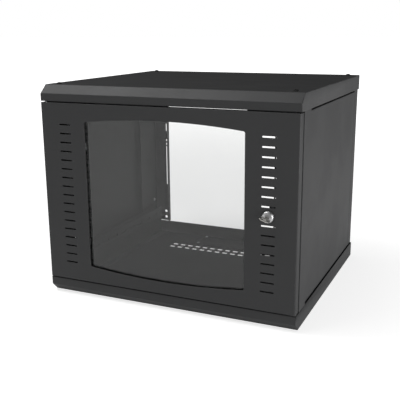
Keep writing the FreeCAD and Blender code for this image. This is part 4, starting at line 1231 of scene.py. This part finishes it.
def threaded_tube(radius: float, bore: float, pitch: float, depth: float, high: float,
                  steps: int = 64) -> Grid:
    """A tube about +Z from z = 0, threaded outside: r = R - depth * below_crest(z, t).

    Args:
        radius: The crest's radius R.
        bore: Radius of the hole.
        pitch: Rise of one turn.
        depth: Depth of the groove.
        high: Height of the upper end.
        steps: Points round the tube.

    Returns:
        Points and faces, closed round its section.
    """
    z = np.linspace(0.0, high, int(high / pitch * 6))[:, None]
    turn = angles(steps)
    ridges = radius - depth * below_crest(z, turn, pitch)
    reach = np.concatenate([np.full((1, steps), bore), ridges, np.full((2, steps), bore)])
    return revolved(reach, np.concatenate([[[0.0]], z, [[high], [0.0]]]), turn)


@dataclass
class CamLock(Assembly):
    """Bezel and barrel, nut, turning plug, cam and the key."""

    bezel_radius: float = 12.35 * MM
    bezel_height: float = 7.0 * MM
    barrel_radius: float = 9.0 * MM
    barrel_thread: tuple[float, float] = (1.2 * MM, 0.45 * MM)
    nut: tuple[float, float] = (11.0 * MM, 9.0 * MM)
    plug_radius: float = 6.0 * MM
    slot_half: tuple[float, float] = (4.4 * MM, 1.2 * MM)
    slot_depth: float = 23.0 * MM
    tang: tuple[float, float] = (2.7 * MM, 4.0 * MM)
    cam_edge: float = 0.4 * MM
    cam_arris: float = 0.25 * MM
    cam_screw: Screw = Screw(4.0 * MM, 2.5 * MM, 2.0 * MM)
    key_tilt: float = 20.0
    key_half: float = 0.95 * MM
    bow: tuple[float, float] = (11.0 * MM, 9.5 * MM)
    bow_power: float = 3.2
    ring_hole: tuple[float, float] = (2.5 * MM, 5.0 * MM)
    blade_width: float = 4.1 * MM
    blade_start: float = 18.0 * MM
    blade_gap: float = 0.3 * MM
    cuts: tuple[float, ...] = (0.35, 0.15, 0.45, 0.25, 0.38)

    def build(self) -> None:
        """Make every piece of the lock about the barrel's axis."""
        low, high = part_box("lock_housing")
        self.x, self.z = (low[0] + high[0]) / 2, (low[2] + high[2]) / 2
        self.face, self.back = low[1], high[1]
        self._housing()
        self._nut()
        self._plug()
        self._cam()
        self._key()

    def _housing(self) -> None:
        """Turned bezel with a bevel and a ring groove, then the threaded barrel."""
        rim, rise, bore, soft = self.bezel_radius, self.bezel_height, self.plug_radius + 0.1 * MM, 0.1 * MM
        ring = rise - 0.35 * MM
        bezel = rounded_profile([(bore, -0.5 * MM, 0), (bore, rise, 0.15 * MM), (7.3 * MM, rise, soft),
                                 (7.5 * MM, ring, soft), (8.0 * MM, ring, soft), (8.2 * MM, rise, soft),
                                 (rim - 2.1 * MM, rise, 0.8 * MM),
                                 (rim - 0.2 * MM, rise - 2.0 * MM, 0.7 * MM), (rim, 0.4 * MM, 0.3 * MM),
                                 (rim - 0.3 * MM, 0, soft), (self.barrel_radius, 0, 0)], 6)
        seat = (self.x, self.face + rise, self.z)
        barrel = threaded_tube(self.barrel_radius, bore, *self.barrel_thread, self.back - seat[1])
        parts = [set_at(turned(bezel, 96), seat, (0, -1, 0)), set_at(barrel, seat, (0, 1, 0))]
        piece = mesh_object("lock_bezel_and_barrel", *joined(parts))
        self.keep(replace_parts(piece, "lock_housing"), self.finishes.chrome)

    def _nut(self) -> None:
        """The flat nut behind the door skin."""
        low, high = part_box("lock_nut")
        nut = hexagon_nut(*self.nut, high[1] - low[1], 72)
        piece = mesh_object("lock_jam_nut", *set_at(nut, (self.x, low[1], self.z), (0, 1, 0)))
        self.keep(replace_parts(piece, "lock_nut"), self.finishes.zinc)

    def _tilted(self, part: Grid) -> Grid:
        """Turn a mesh from the key's own frame about +Y by the keyway's tilt, and carry it to the lock."""
        turn = np.array(Matrix.Rotation(math.radians(self.key_tilt), 3, "Y"))
        return part[0] @ turn.T + np.array((self.x, 0.0, self.z)), part[1]

    def _plug(self) -> None:
        """The plug's face with its keyway, and the square tang behind."""
        low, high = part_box("lock_plug")
        length = high[1] - low[1] - 2.0 * MM
        disc, faces = keyed_disc(self.plug_radius, self.slot_half, self.slot_depth, length)
        points = np.stack([disc[:, 0], low[1] - disc[:, 2], disc[:, 1]], axis=-1)
        half, deep = self.tang
        tang = rounded_profile([(0, 0, 0), (half, 0, 0.1 * MM), (half, deep, 0.2 * MM), (0, deep, 0)])
        parts = [self._tilted((points, faces)),
                 set_at(turned(tang, 4), (self.x, high[1] - deep, self.z), (0, 1, 0), 45.0)]
        piece = mesh_object("lock_turning_plug", *joined(parts))
        self.keep(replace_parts(piece, "lock_plug"), self.finishes.chrome, "lock_core")

    def _cam(self) -> None:
        """The cam with an arris, and its screw."""
        cam = bent_copy("lock_cam", self.cam_edge, ANY_EDGE, self.cam_arris)
        self.keep(cam, self.finishes.zinc, "lock_core")
        piece = mesh_object("cam_pan_screw", *self.cam_screw.fitted("cam_screw", 1))
        self.keep(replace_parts(piece, "cam_screw"), self.finishes.zinc, "lock_core")

    def _bow_outline(self, turn: np.ndarray) -> np.ndarray:
        """Rim of the bow seen from the ring hole, a superellipse about the bow's middle.

        With u = r cos t / a and v = (r sin t - m) / b, the rim is |u|^n + |v|^n = 1, solved by bisection.

        Args:
            turn: Angles about the ring hole.

        Returns:
            The rim's radius at each angle.
        """
        across, along = self.bow
        shift = along - self.ring_hole[1]
        low, high = np.zeros_like(turn), np.full_like(turn, 40 * MM)
        for _ in range(40):
            half = (low + high) / 2
            u, v = half * np.cos(turn) / across, (half * np.sin(turn) - shift) / along
            inside = np.abs(u) ** self.bow_power + np.abs(v) ** self.bow_power < 1.0
            low, high = np.where(inside, half, low), np.where(inside, high, half)
        return (low + high) / 2

    def _key(self) -> None:
        """Bow with a ring hole, and a blade with five cuts."""
        low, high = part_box("key")
        hole, inset = self.ring_hole
        bow = ringed_plate(self._bow_outline, hole, low[1] + inset, self.key_half, 0.25 * MM)
        blade = cut_blade(self.blade_width, self.key_half, low[1] + self.blade_start,
                          high[1] - self.blade_gap, self.cuts)
        piece = mesh_object("flat_key", *joined([self._tilted(bow), self._tilted(blade)]), 30.0)
        self.keep(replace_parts(piece, "key"), self.finishes.nickel, "key")


@dataclass
class CableEntry(Assembly):
    """The blanking plate over the rear cable entry and its screws."""

    edge: float = 0.4 * MM
    arris: float = 0.2 * MM
    screw: Screw = Screw(4.0 * MM, 2.4 * MM, 2.0 * MM)

    def build(self) -> None:
        """Ease the plate's edges and make the screws."""
        self.keep(bent_copy("cable_entry_cover", self.edge, ANY_EDGE, self.arris), self.finishes.coat)
        piece = mesh_object("cable_cover_pan_screws", *self.screw.fitted("cable_cover_screws", 2))
        self.keep(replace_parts(piece, "cable_cover_screws"), self.finishes.zinc)


@dataclass
class SmallFittings(Assembly):
    """Cap plugs, panel screws, foam strips, buffers and the earthing stud."""

    plug_radius: float = 5.5 * MM
    plug_rise: float = 3.5 * MM
    plug_rim: float = 0.5 * MM
    plug_stem: tuple[float, float] = (3.4 * MM, 2.6 * MM)
    panel_screw: Screw = Screw(4.5 * MM, 3.0 * MM, 2.4 * MM)
    stud: float = 3.0 * MM
    stud_flange: tuple[float, float] = (6.0 * MM, 1.5 * MM)
    stud_nut: float = 5.0 * MM

    def build(self) -> None:
        """Make each small part in the place of its CAD node."""
        self._cap_plugs()
        piece = mesh_object("panel_pan_screws", *self.panel_screw.fitted("panel_screws", 0, inward=True))
        self.keep(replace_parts(piece, "panel_screws"), self.finishes.zinc)
        self._foam()
        self._buffers()
        self._earth()

    def _cap_plugs(self) -> None:
        """Moulded plugs: a flat dome z = h (1 - (r/R)^6) over a thin flange, with a stem below."""
        share, (stem, tip) = np.linspace(0.0, 1.0, 14), self.plug_stem
        dome = [(self.plug_radius * s, self.plug_rim + (self.plug_rise - self.plug_rim) * (1 - s ** 6))
                for s in share]
        profile = dome + [(self.plug_radius, 0.0), (stem, 0.0), (stem, -5.0 * MM), (tip, -6.0 * MM),
                          (0.0, -6.0 * MM)]
        parts = [set_at(turned(profile, 48), (*((low + high) / 2)[:2], high[2] - self.plug_rise))
                 for low, high in islands("top_plugs")]
        piece = mesh_object("domed_cap_plugs", *joined(parts))
        self.keep(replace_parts(piece, "top_plugs"), self.finishes.nylon)

    def _foam(self) -> None:
        """Foam strips: a superellipse section, |y/b|^6 + |z/h|^6 = 1, whose size wavers along X."""
        parts, rows, power = [], 90, 6
        turn = angles(32)
        reach = (np.abs(np.cos(turn)) ** power + np.abs(np.sin(turn)) ** power) ** (-1 / power)
        for low, high in islands("door_edge_seals"):
            half, middle = (high - low) / 2, (high + low) / 2
            x = np.linspace(low[0], high[0], rows)[:, None]
            waver = 0.985 - 0.02 * np.sin(x * 311.0 + 2.0 * np.sin(x * 127.0)) ** 2
            y = middle[1] + half[1] * waver * reach * np.cos(turn)
            z = middle[2] + half[2] * waver * reach * np.sin(turn)
            points = np.stack(np.broadcast_arrays(x, y, z), axis=-1).reshape(-1, 3)
            parts.append((points, ring_faces(rows, len(turn), capped=True)))
        piece = mesh_object("foam_strips", *joined(parts))
        self.keep(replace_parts(piece, "door_edge_seals"), self.finishes.foam)

    def _buffers(self) -> None:
        """Rubber buffers: a dome 0.35 h + 0.65 h (1 - (r/R)^3) facing the door, over a flat base."""
        parts, share = [], np.linspace(0.0, 1.0, 12)
        for low, high in islands("door_bumpers"):
            radius, height, middle = (high[0] - low[0]) / 2, high[1] - low[1], (low + high) / 2
            profile = [(radius * s, 0.35 * height + 0.65 * height * (1 - s ** 3)) for s in share]
            profile += [(radius, 0.0), (0.0, 0.0)]
            parts.append(set_at(turned(profile), (middle[0], high[1], middle[2]), (0, -1, 0)))
        piece = mesh_object("rubber_buffers", *joined(parts))
        self.keep(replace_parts(piece, "door_bumpers"), self.finishes.rubber)

    def _earth(self) -> None:
        """The earthing stud on its flange, and its nut."""
        low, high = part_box("earth_stud")
        x, y = (low[0] + high[0]) / 2, (low[1] + high[1]) / 2
        radius, thick = self.stud_flange
        flange = rounded_profile([(0, 0, 0), (radius, 0, 0.2 * MM), (radius, thick, 0.4 * MM),
                                  (2.8 * MM, thick, 0.2 * MM), (0, thick, 0)])
        stud = thread(self.stud, 1.0 * MM, 0.35 * MM, 1.0 * MM, high[2] - low[2])
        piece = mesh_object("earthing_stud", *set_at(joined([turned(flange), stud]), (x, y, low[2])))
        self.keep(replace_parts(piece, "earth_stud"), self.finishes.zinc)
        low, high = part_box("earth_nut")
        nut = hexagon_nut(self.stud_nut, self.stud, high[2] - low[2])
        piece = mesh_object("earthing_nut", *set_at(nut, (x, y, low[2])))
        self.keep(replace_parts(piece, "earth_nut"), self.finishes.zinc)


# ---------------------------------------------------------------- studio
@dataclass
class Lamp:
    """One softbox: where it stands, what it looks at, its size in metres and its power in watts."""
    name: str
    place: tuple[float, float, float]
    target: tuple[float, float, float]
    size: tuple[float, float]
    power: float

    def build(self) -> None:
        """Hang the lamp and turn it to its target."""
        data = bpy.data.lights.new(self.name, "AREA")
        data.shape, (data.size, data.size_y) = "RECTANGLE", self.size
        data.energy, data.color = self.power, WHITE[:3]
        lamp = linked(self.name, data)
        lamp.location = self.place
        lamp.rotation_mode = "QUATERNION"
        lamp.rotation_quaternion = (Vector(self.target) - Vector(self.place)).to_track_quat("-Z", "Y")


@dataclass
class Studio:
    """White surround, pale floor and softboxes."""

    ambient: float = 0.30
    glossy: float = 0.033
    floor_tone: tuple[float, float] = (0.70, 1.18)
    floor_bounce: tuple[float, float] = (0.35, 0.17)
    floor_fade: tuple[float, float] = (0.6, 3.6)
    floor_size: float = 40.0
    floor_drop: float = 0.2 * MM
    lamps: list[Lamp] = field(default_factory=lambda: [
        Lamp("right_softbox", (2.6, -0.5, 0.36), (0.3, 0.0, 0.22), (1.8, 0.7), 37.0),
        Lamp("overhead_left_softbox", (-1.9, -0.3, 2.6), (-0.1, -0.1, 0.4), (1.4, 1.4), 27.0),
        Lamp("overhead_right_softbox", (-0.7, -0.7, 2.6), (0.1, -0.1, 0.4), (1.2, 1.2), 16.5),
        Lamp("front_softbox", (-0.6, -2.9, 0.9), (0.0, -0.3, 0.25), (2.6, 1.8), 3.0),
    ])

    def build(self) -> None:
        """Make the world, the floor and the lamps."""
        self._world()
        self._floor()
        for lamp in self.lamps:
            lamp.build()

    def _world(self) -> None:
        """White for the camera and through glass, dimmer in reflections, soft as light."""
        world = bpy.data.worlds.new("white_surround")
        world.use_nodes = True
        bpy.context.scene.world = world
        tree = Tree(world.node_tree)
        path = tree.add("ShaderNodeLightPath")
        unseen = tree.mix_value(path.outputs["Is Glossy Ray"], self.ambient, self.glossy)
        level = tree.mix_value(tree.directly_seen(path), unseen, 1.0)
        tree.surface(tree.add("ShaderNodeBackground", {"Color": WHITE, "Strength": level}), "World")

    def _floor(self) -> None:
        """A wide pale floor that is nearly white to the camera, brighter farther away, and keeps the contact
        shadow; to other rays it glows faintly as painted bounce light on the cabinet's low parts.
        """
        corners = np.array([(-1, -1), (1, -1), (1, 1), (-1, 1)]) * self.floor_size
        verts = np.column_stack([corners, np.full(4, -self.floor_drop)])
        floor = mesh_object("studio_floor", verts, [[0, 1, 2, 3]])
        material = bpy.data.materials.new("pale_floor")
        material.use_nodes = True
        tree = Tree(material.node_tree)
        path = tree.add("ShaderNodeLightPath")
        away = tree.add("ShaderNodeVectorMath", {0: tree.add("ShaderNodeTexCoord").outputs["Object"]},
                        operation="LENGTH").outputs["Value"]
        # painted bounce light: the floor glows to diffuse and glossy rays and so lights the cabinet's low
        # parts
        bounce = tree.mix_value(path.outputs["Is Glossy Ray"], *self.floor_bounce)
        tone = tree.remap(away, *self.floor_fade, *self.floor_tone)
        glow = tree.mix_value(tree.directly_seen(path), bounce, tone)
        tree.surface(tree.add("ShaderNodeBsdfPrincipled", {
            "Base Color": (0.62, 0.62, 0.62, 1.0), "Roughness": 0.95, "Specular IOR Level": 0.0,
            "Emission Color": WHITE, "Emission Strength": glow}))
        floor.data.materials.append(material)


@dataclass
class MainCamera:
    """The camera from the front right, a little above the cabinet."""

    place: tuple[float, float, float] = (0.64029, -1.49300, 0.60538)
    azimuth: float = 24.24
    elevation: float = 14.36
    roll: float = -0.42
    lens: float = 60.3
    sensor: float = 36.0
    clip: tuple[float, float] = (0.05, 60.0)

    def build(self) -> None:
        """Aim the camera from its azimuth, elevation and roll."""
        az, el, ro = (math.radians(v) for v in (self.azimuth, self.elevation, self.roll))
        forward = np.array([-math.sin(az) * math.cos(el), math.cos(az) * math.cos(el), -math.sin(el)])
        right = np.array([math.cos(az), math.sin(az), 0.0])
        upward = np.cross(right, forward)
        right, upward = (math.cos(ro) * right + math.sin(ro) * upward,
                         math.cos(ro) * upward - math.sin(ro) * right)
        data = bpy.data.cameras.new("main_camera")
        data.lens, data.sensor_width = self.lens, self.sensor
        data.clip_start, data.clip_end = self.clip
        camera = linked("main_camera", data)
        turn = Matrix(np.stack([right, upward, -forward], axis=1).tolist()).to_4x4()
        camera.matrix_world = Matrix.Translation(self.place) @ turn
        bpy.context.scene.camera = camera
        bpy.context.scene.view_settings.view_transform = "Standard"


def main() -> None:
    """Build every sub-assembly, the studio and the camera, and note the sizes."""
    logging.basicConfig(level=logging.INFO, format="%(levelname)s %(name)s: %(message)s")
    finishes = Finishes()
    for kind, body in ((Carcass, "cabinet"), (RackRails, "cabinet"), (CableEntry, "cabinet"),
                       (DoorLeaf, "door"), (DoorHinge, "door"), (CamLock, "door"),
                       (SmallFittings, "cabinet")):
        assembly = kind(body, finishes)
        assembly.build()
        for piece in assembly.pieces:
            log.info("%s: %s, %d faces", type(assembly).__name__, piece.name, len(piece.data.polygons))
    Studio().build()
    MainCamera().build()


if __name__ == "__main__":
    main()
